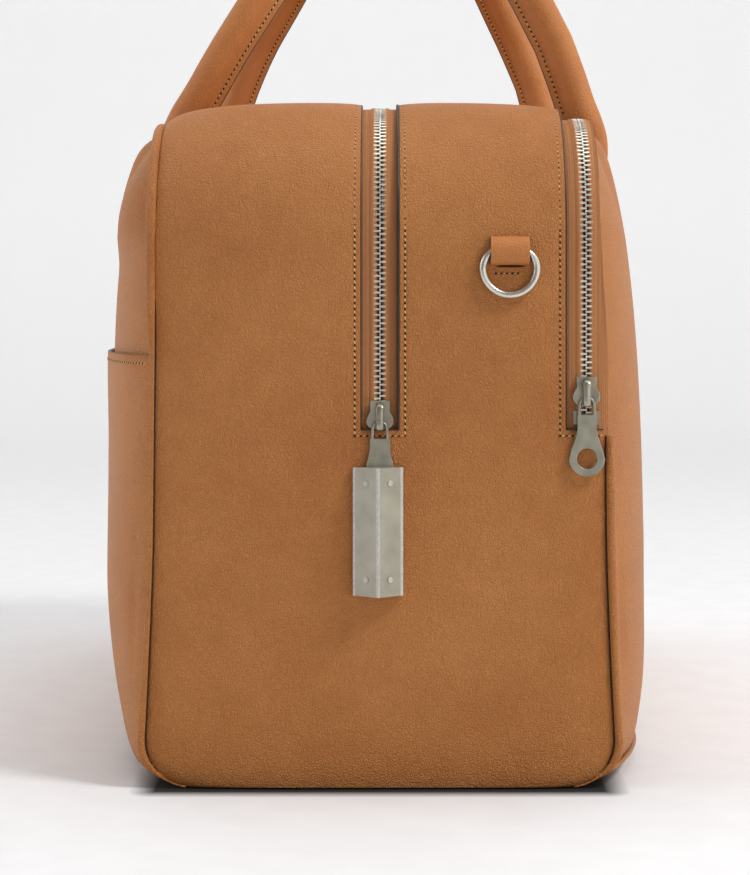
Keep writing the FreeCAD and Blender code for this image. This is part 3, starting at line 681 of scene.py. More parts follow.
def seam_dip(row, y):
    """Shallow channel where a row of stitches pulls the leather down beside a window."""
    kind, value = row
    if kind == "wall" and value < LOW_STITCH_Z - 1.0:
        return 0.0
    near = min(abs(abs(y) - MAIN_STITCH_Y), abs(y - REAR_STITCH_Y))
    return STITCH_DIP * math.exp(-(near / 0.8) ** 2)


def build_gusset():
    """Both halves of the gusset, with real zip windows and painted edges."""
    rows = gusset_rows()
    inner = gusset_columns()
    shares = [0.25, 0.5, 0.7, 0.85, 0.94, 1.0]
    table = []
    for row in rows:
        half = max(row_width(row), REAR_EDGE_Y + 0.6)
        ys = [-REAR_EDGE_Y - (half - REAR_EDGE_Y) * s for s in reversed(shares)]
        ys += inner + [REAR_EDGE_Y + (half - REAR_EDGE_Y) * s for s in shares]
        line = []
        for y in ys:
            point = gusset_point(row, y)
            dip = seam_dip(row, y)
            if row[0] == "wall":
                point[0] -= dip
            elif row[0] == "top":
                point[2] -= dip
            line.append(point)
        table.append((row, ys, line))

    def keep(i, j):
        row, ys, _ = table[i]
        y = 0.5 * (ys[j] + ys[j + 1])
        open_here = row[0] in ("arc", "top") or row[1] >= WINDOW_Z - 0.01
        if not open_here:
            return True
        return not (abs(y) < WINDOW_HALF or y > REAR_EDGE_Y)

    lines = [line for _, _, line in table]
    for sign, side in ((1, "right"), (-1, "left")):
        flat = np.array([sign, 1, 1])
        placed = [[p * flat for p in line] for line in lines]
        piece("gusset_skin_" + side, grid(placed, keep=keep, flip=sign < 0), [HIDE, PAINT],
              "bag", "leather", "gusset_" + side, thick=(LEATHER, 1))


def face_half(z):
    """Half length of a face panel at height z."""
    if z <= SHOULDER_Z:
        return FACE_HALF
    rise = min(z - SHOULDER_Z, FACE_SHOULDER_R)
    return FACE_HALF - FACE_SHOULDER_R + math.sqrt(FACE_SHOULDER_R ** 2 - rise ** 2)


def face_profile(z, sign):
    """How far a face stands from the middle plane, away from its ends."""
    edge = math.exp(-(FACE_Z1 - z) / 4.0)
    if sign < 0:
        high = max(z - 150.0, 0.0) / 161.0
        low = max(98.0 - z, 0.0) / 92.0
        return 137.0 - 17.5 * high ** 3.2 - 13.0 * edge - 12.2 * low ** 1.8
    high = max(z - 110.0, 0.0) / 201.0
    low = max(66.0 - z, 0.0) / 60.0
    return 134.8 - 4.0 * high - 17.5 * high ** 3.6 - 6.0 * edge - 6.2 * low ** 2


def zip_draw(z):
    """How far the back face comes forward over the rear zip's tape."""
    return 2.9 * smooth_step(200.0, 275.0, z)


def end_distance(x, z):
    """Distance from a face panel's end or rounded shoulder."""
    x = abs(x)
    mid = FACE_HALF - FACE_SHOULDER_R
    rise = max(z - SHOULDER_Z, 0.0)
    if rise > 0.0 and x > mid:
        return max(FACE_SHOULDER_R - math.hypot(x - mid, rise), 0.0)
    return max(FACE_HALF - x, 0.0) - rise * math.exp(-(max(mid - x, 0.0) / 16.0) ** 2)


def tab_dent(x, z):
    """The face is drawn in where the handles are sewn on."""
    near = math.exp(-((abs(x) - HANDLE_X) / 20.0) ** 4)
    deep = 3.6 * smooth_step(214.0, 244.0, z) + 4.0 * smooth_step(258.0, 290.0, z)
    return deep * near * (1.0 - smooth_step(304.0, FACE_Z1, z))


def face_y(x, z, sign):
    """Distance of a face panel from the middle of the bag."""
    z = min(max(z, FACE_Z0), FACE_Z1)
    to_end = end_distance(x, z)
    if sign < 0:
        to_end *= 1.0 + 1.4 * smooth_step(245.0, 290.0, z)
    to_top = FACE_Z1 - z
    reach = 40.0 + 20.0 * (1.0 - smooth_step(10.0, 45.0, z))
    rise = (1.0 - math.exp(-to_end / reach)) / (1.0 - math.exp(-86.0 / reach))
    soft = 0.9 * ripple(x, 90.0 * sign, z) * min(rise, 1.0) * (1.0 - math.exp(-to_top / 30.0))
    crease = 0.9 * math.exp(-((to_end - 9.0) / 3.0) ** 2) * math.exp(-((z - 84.0) / 30.0) ** 2)
    seam = seam_y(z) - (zip_draw(z) if sign > 0 else 0.0)
    bulge = 0.96 * max(face_profile(z, sign) - seam, 0.4)
    return seam + 0.4 + bulge * rise + soft - tab_dent(x, z) - crease


def face_grid(z_list, u_list, surface):
    """Sheet over a face panel: rows by height, columns by share of the half length."""
    rows = []
    for z in z_list:
        half = face_half(z)
        rows.append([surface(u * half, z) for u in u_list])
    return rows


def face_heights():
    """Heights that follow the rounded shoulders closely."""
    out = [float(z) for z in np.linspace(FACE_Z0, SHOULDER_Z, 60)]
    return out + [SHOULDER_Z + FACE_SHOULDER_R * math.sin(a) for a in quarter(26)[1:]]


def face_shares():
    """Column shares, closer together near the ends."""
    return [math.sin(math.pi / 2 * k / 56) for k in range(-56, 57)]


def build_faces():
    """Front and back panels."""
    for name, sign in (("front", -1), ("back", 1)):
        def surface(x, z):
            return np.array([x, sign * face_y(x, z, sign), z])
        rows = face_grid(face_heights(), face_shares(), surface)
        piece(name + "_face_skin", grid(rows, flip=sign > 0), [HIDE],
              "bag", "leather", name + "_panel", thick=(LEATHER,))


def build_rear_lip():
    """Turned-in edge that carries the back face up to the rear zip's tape."""
    crest = top_z(REAR_ZIP_Y) - TOP_INSET - LIP_BELOW
    radius = crest - SHOULDER_Z
    face_mid = FACE_HALF - FACE_SHOULDER_R
    tape_mid = HALF_LENGTH - TAPE_INSET - LIP_BELOW - radius
    steps = [(angle, 1.0) for angle in quarter(24)[8:]]
    steps += [(math.pi / 2, 1.0 - k / 30) for k in range(1, 31)]
    lower = []
    upper = []
    for angle, share in steps:
        x = share * face_mid + FACE_SHOULDER_R * math.cos(angle)
        z = SHOULDER_Z + FACE_SHOULDER_R * math.sin(angle)
        lower.append(np.array([x, face_y(x, z, 1) - 0.2, z - 0.3]))
        x = share * tape_mid + radius * math.cos(angle)
        z = SHOULDER_Z + radius * math.sin(angle)
        upper.append(np.array([x, seam_y(z) - zip_draw(z) + 1.0, z]))
    middle = [0.5 * (a + b) + EY * 0.5 for a, b in zip(lower, upper)]
    rows = [line + [p * MIRROR for p in reversed(line[:-1])] for line in (lower, middle, upper)]
    piece("rear_zip_lip", grid(rows), [HIDE, PAINT], "bag", "leather",
          thick=(LIP_THICK, 1, False))


def bead(points, normals, radius):
    """Thin round edge along a line."""
    sides = [unit(np.cross(t, n)) for t, n in zip(tangents(points), normals)]
    return sweep(points, normals, sides, circle(radius, 8))


PIPING_SHOW = [(4.0, 0.3), (16.0, 3.6), (40.0, 2.9), (70.0, 2.4), (95.0, 1.5), (200.0, 1.5),
               (228.0, 4.2), (320.0, 4.5)]
BACK_PIPING_SHOW = [(4.0, 0.3), (16.0, 3.8), (45.0, 3.2), (110.0, 3.8), (180.0, 3.6)]
PIPING_SIDE = np.array([0, 1.0, 0.15])
PIPING_X = FACE_HALF + 0.7
PIPING_SINK = 0.6
SHOULDER_PIPING_R = FACE_SHOULDER_R + 0.9
CORD_SHARE = 0.45
GAP_RADIUS = 0.5
GAP_SKIP = 9


def piping_half(z, shown):
    """Centre line of a piping outside the seam, from the floor side of a corner upwards."""
    heights = [a for a, _ in shown]
    widths = [b for _, b in shown]
    return 0.5 * float(np.interp(z, heights, widths)) + 0.3


def piping_path(shown, top):
    """Centres and radii along one end's seam, up to a height."""
    path = []
    for angle in quarter(15)[1:]:
        a = angle - math.pi / 2
        r = piping_half(CORNER_Z + CORNER_R * math.sin(a), shown)
        reach = CORNER_R + r - PIPING_SINK
        path.append((PIPING_X, CORNER_Y + reach * math.cos(a), CORNER_Z + reach * math.sin(a), r))
    for z in np.arange(CORNER_Z + 4.0, min(top, SHOULDER_Z), 4.0):
        r = piping_half(z, shown)
        path.append((PIPING_X, seam_y(z) + r - PIPING_SINK, float(z), r))
    return path


def build_piping(name, sign, paths):
    """Leather piping with a cord in it, squeezed thin where the wall and a face press on it."""
    for kind, share, material, slot_name in (("", 1.0, HIDE, "leather"),
                                             ("_cord", CORD_SHARE, CORD, "cord")):
        parts = []
        for path in paths:
            centres = [np.array([x, sign * y, z]) for x, y, z, _ in path]
            along = tangents(centres)
            normals = [unit(np.cross(t, PIPING_SIDE)) for t in along]
            sides = [unit(np.cross(t, n)) for t, n in zip(along, normals)]

            def section(index):
                return circle(path[index][3] * share, 12)

            parts.append(sweep(centres, normals, sides, section))
        piece(f"{name}_piping_roll{kind}", merge(parts), [material],
              "bag", slot_name, f"{name}_piping{kind}")


def build_seam_gap_shade(name, sign, paths):
    """Painted shade: a dark bead in the groove between the piping and the end wall, standing for the
    shadow in it.
    """
    parts = []
    for path in paths:
        centres = [np.array([x, sign * (y - 1.06 * r), z]) for x, y, z, r in path]
        normals = [np.array([math.copysign(1.0, c[0]), 0, 0.01]) for c in centres]
        parts.append(bead(centres, normals, GAP_RADIUS))
    piece(f"{name}_seam_gap", merge(parts), [HOLE_SHADE], "bag", "leather")


def build_pipings():
    """One piping over the whole front seam, and one up each end of the back to the rear zip."""
    front = piping_path(PIPING_SHOW, SHOULDER_Z)
    mid = PIPING_X - SHOULDER_PIPING_R
    for a in quarter(24):
        z = SHOULDER_Z + SHOULDER_PIPING_R * math.sin(a)
        r = piping_half(z, PIPING_SHOW)
        front.append((mid + SHOULDER_PIPING_R * math.cos(a), seam_y(z) + r - PIPING_SINK, z, r))
    front += [(x, *front[-1][1:]) for x in np.linspace(mid, 0.0, 40)[1:]]
    front += [(-x, y, z, r) for x, y, z, r in reversed(front[:-1])]
    back = piping_path(BACK_PIPING_SHOW, BACK_PIPING_TOP)
    ends = [back, [(-x, y, z, r) for x, y, z, r in back]]
    build_piping("front", -1, [front])
    build_seam_gap_shade("front", -1, [front[GAP_SKIP:-GAP_SKIP]])
    build_piping("back", 1, ends)
    build_seam_gap_shade("back", 1, [path[GAP_SKIP:] for path in ends])


POCKET_LIFT = 2.5
POCKET_SEAM_Z = POCKET_TOP - 3.9


def pocket_y(x, z):
    """Outside of the slip pocket: it stands off the face a little at its open top."""
    share = abs(x) / FACE_HALF
    gape = 1.1 * (1.0 - share ** 6) * smooth_step(POCKET_TOP - 45.0, POCKET_TOP, z)
    lift = POCKET_LIFT * (1.0 - 0.6 * math.exp(-end_distance(x, z) / 4.0))
    return face_y(x, z, -1) + lift + gape * (1.0 + 0.06 * math.sin(x / 33.0))


def build_pocket():
    """Slip pocket with a painted, stitched top edge."""
    def surface(x, z):
        return np.array([x, -pocket_y(x, z), z])
    heights = list(np.linspace(FACE_Z0, POCKET_TOP, 50))
    rows = face_grid([float(z) for z in heights], face_shares(), surface)
    piece("pocket_skin", grid(rows), [HIDE, PAINT], "bag", "leather", "front_pocket_panel",
          thick=(LEATHER, 1))
    line = [surface(x, POCKET_SEAM_Z) for x in np.linspace(-FACE_HALF + 2, FACE_HALF - 2, 200)]
    normals = [np.array([0, -1, 0.05])] * len(line)
    build_stitches("pocket_stitches", [(line, normals)], "bag")


def build_base():
    """Base panel: flat over the board, rounding up to the faces and bulging with them."""
    rows = []
    for x in np.linspace(-FACE_HALF, FACE_HALF, 61):
        sides = []
        for sign in (-1, 1):
            width = face_y(x, FACE_Z0, sign) - CORNER_Y
            side = []
            for angle in quarter(12):
                y = CORNER_Y + width * math.cos(angle) ** 0.9
                z = FACE_Z0 - (FACE_Z0 - BASE_Z) * math.sin(angle)
                side.append(np.array([x, sign * y, z]))
            sides.append(side)
        middle = [np.array([x, y, BASE_Z]) for y in np.linspace(-CORNER_Y, CORNER_Y, 9)[1:-1]]
        rows.append(sides[0] + middle + sides[1][::-1])
    piece("base_skin", grid(rows, flip=True), [HIDE], "bag", "leather", "base_panel",
          thick=(LEATHER,))


# ---------------------------------------------------------------- stitches
STITCH_PITCH = 2.85
STITCH_SIZE = (0.85, 0.36, 0.3)
STITCH_LIFT = 0.12
STITCH_SLANT = 0.3
HOLE_SHADE_SIZE = (0.66, 0.5, 0.2)
HOLE_SHADE_LIFT = 0.16


def blob(centre, along, up, sizes, rings=4, around=6):
    """Small closed ellipsoid."""
    along = unit(along)
    side = unit(np.cross(up, along))
    up = np.cross(along, side)
    verts = [centre - along * sizes[0]]
    for i in range(1, rings):
        a = math.pi * i / rings
        for k in range(around):
            b = 2 * math.pi * k / around
            verts.append(centre - along * sizes[0] * math.cos(a)
                         + (side * sizes[1] * math.cos(b) + up * sizes[2] * math.sin(b)) * math.sin(a))
    verts.append(centre + along * sizes[0])
    faces = []
    last = len(verts) - 1
    for k in range(around):
        m = (k + 1) % around
        faces.append((0, 1 + m, 1 + k))
        faces.append((last, last - around + k, last - around + m))
        for i in range(rings - 2):
            a = 1 + i * around
            faces.append((a + k, a + m, a + around + m, a + around + k))
    return verts, faces


def build_stitches(name, runs, body, blend=None):
    """Rows of slanting thread stitches with dark blobs of painted shade for the needle holes between
    them.
    """
    thread_parts = []
    hole_shade_parts = []
    for line, normals in runs:
        line = np.array(line)
        normals = np.array([unit(n) for n in normals])
        even = resample(line, STITCH_PITCH)
        picks = [int(np.argmin(np.linalg.norm(line - p, axis=1))) for p in even]
        for k in range(len(even) - 1):
            a, b = even[k], even[k + 1]
            n = normals[picks[k]]
            along = unit(b - a)
            across = np.cross(n, along)
            middle = 0.5 * (a + b) + n * STITCH_LIFT
            slant = along + across * STITCH_SLANT
            thread_parts.append(blob(middle, slant, n, STITCH_SIZE))
            # painted shade: a dark blob stands for the shadow in each needle hole
            hole_shade_parts.append(blob(a + n * HOLE_SHADE_LIFT, slant, n, HOLE_SHADE_SIZE))
    threads = sum(len(faces) for _, faces in thread_parts)
    verts, faces = merge(thread_parts + hole_shade_parts)
    indices = [0] * threads + [1] * (len(faces) - threads)
    obj = make_object(name, verts, faces, [THREAD, HOLE_SHADE], indices)
    if blend:
        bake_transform(obj)
    else:
        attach(obj, body)
    return obj


def gusset_route(y, low_z, lift=0.05):
    """Line up one end wall, over the top and down the other end at constant y, with normals."""
    points = []
    normals = []
    rows = [("wall", z) for z in np.arange(low_z, SHOULDER_Z, 4.0)]
    rows += [("arc", angle) for angle in quarter(24)]
    rows += [("top", 1.0 - k / 24) for k in range(1, 25)]
    for row in rows:
        p = gusset_point(row, y)
        dip = seam_dip(row, y) - lift
        n = {"wall": EX, "top": EZ}.get(row[0])
        if n is None:
            n = np.array([math.cos(row[1]), 0, math.sin(row[1])])
        points.append(p - n * dip)
        normals.append(n)
    points += [p * MIRROR for p in reversed(points[:-1])]
    normals += [n * MIRROR for n in reversed(normals[:-1])]
    return points, normals


def wall_run(y0, y1, z, sign):
    """Level line of stitches across an end wall."""
    points = []
    for y in np.linspace(y0, y1, 24):
        p = gusset_point(("wall", z), y) + np.array([0.05, 0, 0])
        points.append(p * np.array([sign, 1, 1]))
    return points, [np.array([sign, 0, 0])] * len(points)


def build_window_stitches():
    """Stitches around the main window and down the side of the rear one."""
    low = LOW_STITCH_Z
    runs = [gusset_route(y, low) for y in (-MAIN_STITCH_Y, MAIN_STITCH_Y, REAR_STITCH_Y)]
    for sign in (1, -1):
        runs.append(wall_run(-MAIN_STITCH_Y, MAIN_STITCH_Y, low, sign))
        runs.append(wall_run(REAR_STITCH_Y, seam_y(low) - 1.5, low, sign))
    build_stitches("window_stitches", runs, "bag")


def build_window_edges():
    """Painted edge paint standing a little proud along the zip windows."""
    parts = []
    for y, radius in ((-WINDOW_HALF, 0.32), (WINDOW_HALF - 0.35, 0.72), (REAR_EDGE_Y, 0.38)):
        points, normals = gusset_route(y, WINDOW_Z, -0.2)
        parts.append(bead(points, normals, radius))
    for sign in (1, -1):
        for y0, y1 in ((-WINDOW_HALF, WINDOW_HALF), (REAR_EDGE_Y, seam_y(WINDOW_Z) - 0.8)):
            points, normals = wall_run(y0, y1, WINDOW_Z, sign)
            parts.append(bead([p - n * 0.3 for p, n in zip(points, normals)], normals, 0.42))
    piece("window_edge_paint", merge(parts), [PAINT], "bag", "leather")


# ---------------------------------------------------------------- zips
def chain_route(y):
    """Even points along a zip with outward normals, from the right end to the left end."""
    crest = top_z(y) - TOP_INSET
    wall = HALF_LENGTH - TAPE_INSET
    radius = crest - SHOULDER_Z
    straight = SHOULDER_Z - CHAIN_FOOT
    bend = radius * math.pi / 2
    level = 2 * (wall - radius)
    total = 2 * straight + 2 * bend + level

    def at(s):
        sign = 1.0
        if s > total / 2:
            s = total - s
            sign = -1.0
        if s < straight:
            return (np.array([sign * wall, y, CHAIN_FOOT + s]), np.array([sign, 0, 0]))
        if s < straight + bend:
            a = (s - straight) / radius
            n = np.array([sign * math.cos(a), 0, math.sin(a)])
            return np.array([sign * (wall - radius), y, SHOULDER_Z]) + n * radius, n
        x = wall - radius - (s - straight - bend)
        return np.array([sign * x, y, crest]), np.array([0, 0, 1.0])

    return at, total


def tape_strip(y_edges, zip_y, extra=9.0):
    """Strip of tape between two distances from the zip's middle, never past a seam."""
    at, total = chain_route(zip_y)
    rows = []
    uvs = []
    count = 150
    for k in range(count + 1):
        s = -extra + (total + 2 * extra) * k / count
        inside = min(max(s, 0.0), total)
        p, n = at(inside)
        if s != inside:
            p = p - np.array([0, 0, abs(s - inside)])
        line = []
        for place, (y, lift) in enumerate(y_edges):
            spare = 0.35 * (len(y_edges) - 1 - place)
            limit = seam_y(p[2]) - zip_draw(p[2]) + 0.7 - zip_y - spare
            line.append(p + np.array([0, min(y, limit), 0]) + n * lift)
            uvs.append((s, y))
        rows.append(line)
    verts, faces = grid(rows)
    return verts, faces, uvs


def build_tapes():
    """Woven tapes with a raised cord along the teeth."""
    plans = [
        ("main_zip", 0.0, 16.0, 16.0),
        ("rear_zip", REAR_ZIP_Y, 14.0, 11.0),
    ]
    for name, y, front_reach, back_reach in plans:
        for side, sign, reach in (("front", -1, front_reach), ("back", 1, back_reach)):
            inner = CHAIN_HALF - 1.6
            profile = [(inner, -0.2), (inner + 0.5, 0.55), (inner + 1.2, 0.75), (inner + 2.0, 0.6),
                       (inner + 2.7, 0.15), (inner + 3.5, 0.0), (inner + 4.3, 0.12),
                       (inner + 5.2, 0.0), (reach, 0.0)]
            edges = [(sign * a, lift) for a, lift in profile]
            verts, faces, uvs = tape_strip(edges, y)
            if sign > 0:
                faces = [f[::-1] for f in faces]
            piece(f"{name}_weave_{side}", (verts, faces), [TAPE],
                  "bag", "zip_tape", f"{name}_tape_{side}", thick=(TAPE_THICK,), uvs=uvs)


TOOTH_HALF = [(3.4, 0.60), (1.5, 0.62), (0.7, 0.50), (0.2, 0.62), (-0.25, 0.55), (-0.45, 0.2)]
TOOTH_DEPTH = 2.1
TOOTH_RIM = 0.28
TOOTH_MID = 1.45
TOOTH_LIFT = 0.35


def tooth(centre, normal, along, side):
    """One zip tooth: a wide clamp on the tape, a neck and a rounded head past the middle."""
    outline = TOOTH_HALF + [(a, -b) for a, b in reversed(TOOTH_HALF)]
    base = centre - normal * TOOTH_DEPTH / 2
    across = EY * side
    low = [base + across * a + along * b for a, b in outline]
    mid = [p + normal * (TOOTH_DEPTH - TOOTH_RIM) for p in low]
    top = []
    for a, b in outline:
        reach = TOOTH_MID + (a - TOOTH_MID) * 0.88
        top.append(base + normal * TOOTH_DEPTH + across * reach + along * (b * 0.62))
    n = len(outline)
    faces = [tuple(range(n)), tuple(range(2 * n, 3 * n))[::-1]]
    for k in range(n):
        m = (k + 1) % n
        faces.append((n + k, n + m, m, k))
        faces.append((2 * n + k, 2 * n + m, n + m, n + k))
    if side < 0:
        faces = [f[::-1] for f in faces]
    return low + mid + top, faces


def build_teeth():
    """Two interlocking rows of teeth on each zip."""
    for name, y in (("main_zip", 0.0), ("rear_zip", REAR_ZIP_Y)):
        at, total = chain_route(y)
        count = int(total / PITCH)
        for side_name, side, shift in (("front", -1, 0.0), ("back", 1, 0.5)):
            parts = []
            for k in range(count):
                s = (k + shift) * total / count
                p, n = at(s)
                along = unit(at(min(s + 0.5, total))[0] - at(max(s - 0.5, 0.0))[0])
                parts.append(tooth(p + n * TOOTH_LIFT, n, along, side))
            piece(f"{name}_chain_{side_name}", merge(parts), [TEETH],
                  "bag", "nickel", f"{name}_teeth_{side_name}", smooth=False)


SLIDER_HALF = [
    (-4.6, 14.4), (-4.8, 13.6), (-4.6, 9.6), (-5.5, 7.9), (-6.3, 6.4), (-6.5, 5.0), (-6.3, 3.4),
    (-5.2, 1.9), (-3.6, 0.7), (-1.6, 0.1),
]
SLIDER_POST = [(-0.35, 5.0), (-0.35, 9.0)]
SLIDER_PLATE = 1.5
SLIDER_GAP = 3.1
BRIDGE = [(-0.4, 12.9), (1.7, 12.6), (3.5, 10.8), (3.9, 6.0), (3.9, 2.6), (2.9, 0.9), (-0.2, 1.1)]


def build_slider(name, low, high, sign):
    """Slider: front and back plates, a post, and a rounded bridge for the pull."""
    origin = np.array([low[0], 0.5 * (low[1] + high[1]), low[2]])
    outline = both_sides(SLIDER_HALF)[::-1]
    back = prism(outline, origin, SLIDER_PLATE)
    post = prism(both_sides(SLIDER_POST), origin + EX * SLIDER_PLATE, SLIDER_GAP)
    front = prism(outline, origin + EX * (SLIDER_PLATE + SLIDER_GAP), SLIDER_PLATE)
    piece(name + "_plates", mirror_part(merge([front, back, post]), sign), [NICKEL],
          name, "nickel", name, rounded=(0.45,))
    face = origin + EX * (2 * SLIDER_PLATE + SLIDER_GAP)
    route = spline([face + EX * x + EZ * z for x, z in BRIDGE], 6)
    normals = [unit(np.cross(EY, t)) for t in tangents(route)]

    def section(index):
        wide = 1.95 - 0.35 * index / (len(route) - 1)
        return [(0.76 * math.cos(a), wide * math.copysign(abs(math.sin(a)) ** 0.7, math.sin(a)))
                for a in np.linspace(0, 2 * math.pi, 14, endpoint=False)]

    part = sweep(route, normals, [EY] * len(route), section)
    piece(name + "_bridge", mirror_part(part, sign), [NICKEL], name, "nickel")


PULL_THICK = 1.5
PULL_WIRE = 0.8
HOLE_DROP = 28.0
HOLE_RADIUS = 4.75
PULL_LOOP_HALF = 3.4
PULL_LOOP = [(0.15, -7.8), (0.1, -4.2), (-0.4, -1.6), (-1.5, -0.15)]


def build_pull(name, outline, hole, sign):
    """Flat pull: a wire loop through the bridge and a plate, with an optional round hole."""
    joint = name + "_swing"
    axis = np.array([j["pos_m"] for j in frame["joints"] if j["name"] == joint][0]) / MM
    axis = axis * np.array([sign, 1, 1])
    origin = axis - EX * PULL_THICK / 2
    half = [(-PULL_LOOP_HALF - wider, z) for wider, z in PULL_LOOP]
    sides = both_sides(half)
    line = sides[:len(half)] + [(0.0, 0.0)] + sides[len(half):]
    loop = spline([axis + EY * y + EZ * z for y, z in line], 6)
    sides = [unit(np.cross(t, EX)) for t in tangents(loop)]
    ring = sweep(loop, [EX] * len(loop), sides, circle(PULL_WIRE, 10))
    outline = [(a, -b) for a, b in outline]
    if hole:
        plate = holed_plate(outline, hole, origin, PULL_THICK)
    else:
        plate = prism(outline, origin, PULL_THICK)
    piece(name + "_plate", mirror_part(plate, sign), [PLATE], name, "nickel", name,
          rounded=(0.4, 3, 30.0))
    piece(name + "_loop", mirror_part(ring, sign), [PLATE], name, "nickel")


def holed_plate(outline, hole, origin, depth):
    """Plate like a prism, whose outline and round hole have the same number of points."""
    centre, radius = hole
    count = len(outline)
    inner = []
    for a, b in outline:
        angle = math.atan2(b - centre[1], a - centre[0])
        inner.append((centre[0] + radius * math.cos(angle), centre[1] + radius * math.sin(angle)))
    rings = []
    for points, shift in ((outline, 0.0), (outline, depth), (inner, depth), (inner, 0.0)):
        rings.append([origin + EY * a + EZ * b + EX * shift for a, b in points])
    verts = [p for ring in rings for p in ring]
    faces = []
    for r in range(4):
        for k in range(count):
            m = (k + 1) % count
            a = r * count
            b = ((r + 1) % 4) * count
            faces.append((a + k, a + m, b + m, b + k))
    return verts, faces


def teardrop_outline(neck, neck_drop, start, radius, centre_drop):
    """Outline of the rear pull: straight neck, flaring into a round end."""
    left = [(-neck, start), (-neck, 0.5 * (start + neck_drop)), (-neck, neck_drop)]
    flare = []
    for t in (0.2, 0.4, 0.6, 0.8):
        width = neck + (radius - neck) * (t ** 1.35)
        flare.append((-width * 0.99, neck_drop + (centre_drop - 1.5 - neck_drop) * t))
    arc = []
    for k in range(25):
        angle = math.pi * k / 24
        arc.append((-radius * math.cos(angle), centre_drop + radius * math.sin(angle)))
    half = left + flare
    right = both_sides(half)[len(half):]
    return half + arc + right + [(neck * 0.5, start), (0.0, start), (-neck * 0.5, start)]


def build_pulls():
    """Main pull with its plate flaring into the tag, a plain one at the far end, the rear one."""
    flare = both_sides([(-4.7, 7.2), (-4.75, 10.0), (-4.9, 12.8), (-5.4, 15.6), (-6.2, 18.6),
                        (-6.6, 20.6), (-6.6, 26.2)])
    build_pull("main_pull_right", flare, None, 1)
    build_pull("main_pull_left", flare, None, -1)
    outline = teardrop_outline(4.5, 13.5, 7.2, 8.5, HOLE_DROP)
    build_pull("rear_pull", outline, ((0.0, -HOLE_DROP), HOLE_RADIUS), 1)


TAG_SHIFT = 0.9
TAG_DOT = (1.5, 1.4, 0.16)


def build_tag():
    """Frosted ridged prism with two sunk dots on each face; its ridge and side bevels take the paler
    material as a painted highlight.
    """
    x0, x1 = TAG_LOW[0], TAG_HIGH[0]
    half = TAG_HIGH[1] - 0.1
    section = [(x0, -half), (x0, half), (x0 + 2.6, half), (x0 + 3.0, half - 1.3),
               (x1 - 0.3, 0.9), (x1, 0.0), (x1 - 0.3, -0.9), (x0 + 3.0, 1.3 - half),
               (x0 + 2.6, -half)]
    rows = [[np.array([x, y - TAG_SHIFT, z]) for x, y in section]
            for z in (TAG_LOW[2], TAG_HIGH[2])]
    verts, faces = grid(rows, wrap=True)
    n = len(section)
    faces += [tuple(range(n))[::-1], tuple(range(n, 2 * n))]
    # faces with index 1, the ridge and the bevels at the sides, carry the paler material as a painted
    # highlight
    indices = [0, 0, 1, 0, 1, 1, 0, 1, 0, 0, 0]
    piece("tag_prism", (verts, faces), [FROSTED, MARK_AND_HIGHLIGHT], "main_pull_right", "frosted_tag",
          "pull_tag", rounded=(0.35, 3, 25.0), indices=indices, smooth=False)
    parts = []
    for sign in (-1, 1):
        a = np.array([x0 + 2.8, sign * half - TAG_SHIFT, 0])
        b = np.array([x1 - 0.5, sign * 1.4 - TAG_SHIFT, 0])
        normal = unit(np.array([abs(b[1] - a[1]), sign * (b[0] - a[0]), 0]))
        for z in (TAG_HIGH[2] - 7.2, TAG_LOW[2] + 8.0):
            centre = a + (b - a) * 0.58 + np.array([0, 0, z])
            parts.append(blob(centre - normal * 0.02, EZ, normal, TAG_DOT, 8, 16))
    piece("tag_dots", merge(parts), [MARK_AND_HIGHLIGHT], "main_pull_right", "frosted_tag")


# ---------------------------------------------------------------- rings at the ends
RING_WIRE = 1.75
RING_CORNER = 8.6
LOOP_THICK = 1.5
LOOP_STEPS = 16


def ring_wire(cx, cy):
    """Round wire bent to a D, with its flat side in the loop."""
    half = 0.5 * (RING_HIGH[1] - RING_LOW[1]) - RING_WIRE
    side_z = RING_HIGH[2] - RING_WIRE - RING_CORNER
    flat = half - RING_CORNER
    path = []
    for a in quarter(6):
        path.append((cx, cy + flat + RING_CORNER * math.sin(a), side_z + RING_CORNER * math.cos(a)))
    for k in range(33):
        a = math.pi * k / 32
        path.append((cx, cy + half * math.cos(a), side_z - half * math.sin(a)))
    for a in quarter(6):
        path.append((cx, cy - flat - RING_CORNER * math.cos(a), side_z + RING_CORNER * math.sin(a)))
    path = resample(path + [path[0]], 1.2)[:-1]
    count = len(path)
    sides = [unit(np.cross(unit(path[(k + 1) % count] - path[k - 1]), EX)) for k in range(count)]
    rows = [[c + EX * a + s * b for a, b in circle(RING_WIRE, 16)] for c, s in zip(path, sides)]
    rows.append(rows[0])
    return grid(rows, wrap=True)


def loop_band(cy, w):
    """Leather band of half width w, arched over the flat side of the ring."""
    mid = 0.5 * (LOOP_LOW[2] + LOOP_HIGH[2])
    half = 0.5 * (LOOP_HIGH[2] - LOOP_LOW[2]) - 0.3
    out = LOOP_HIGH[0] - HALF_LENGTH + 1.0
    turns = [math.pi * k / LOOP_STEPS for k in range(LOOP_STEPS + 1)]
    arch = [np.array([HALF_LENGTH - 1.2 + out * math.sin(a) ** 0.75, cy, mid - half * math.cos(a)])
            for a in turns]
    normals = [unit(np.cross(EY, t)) for t in tangents(arch)]
    places = (-w, -w + 0.5, 0, w - 0.5, w)
    section = [(0, y) for y in places] + [(-LOOP_THICK, y) for y in reversed(places)]
    return sweep(arch, normals, [EY] * len(arch), section)


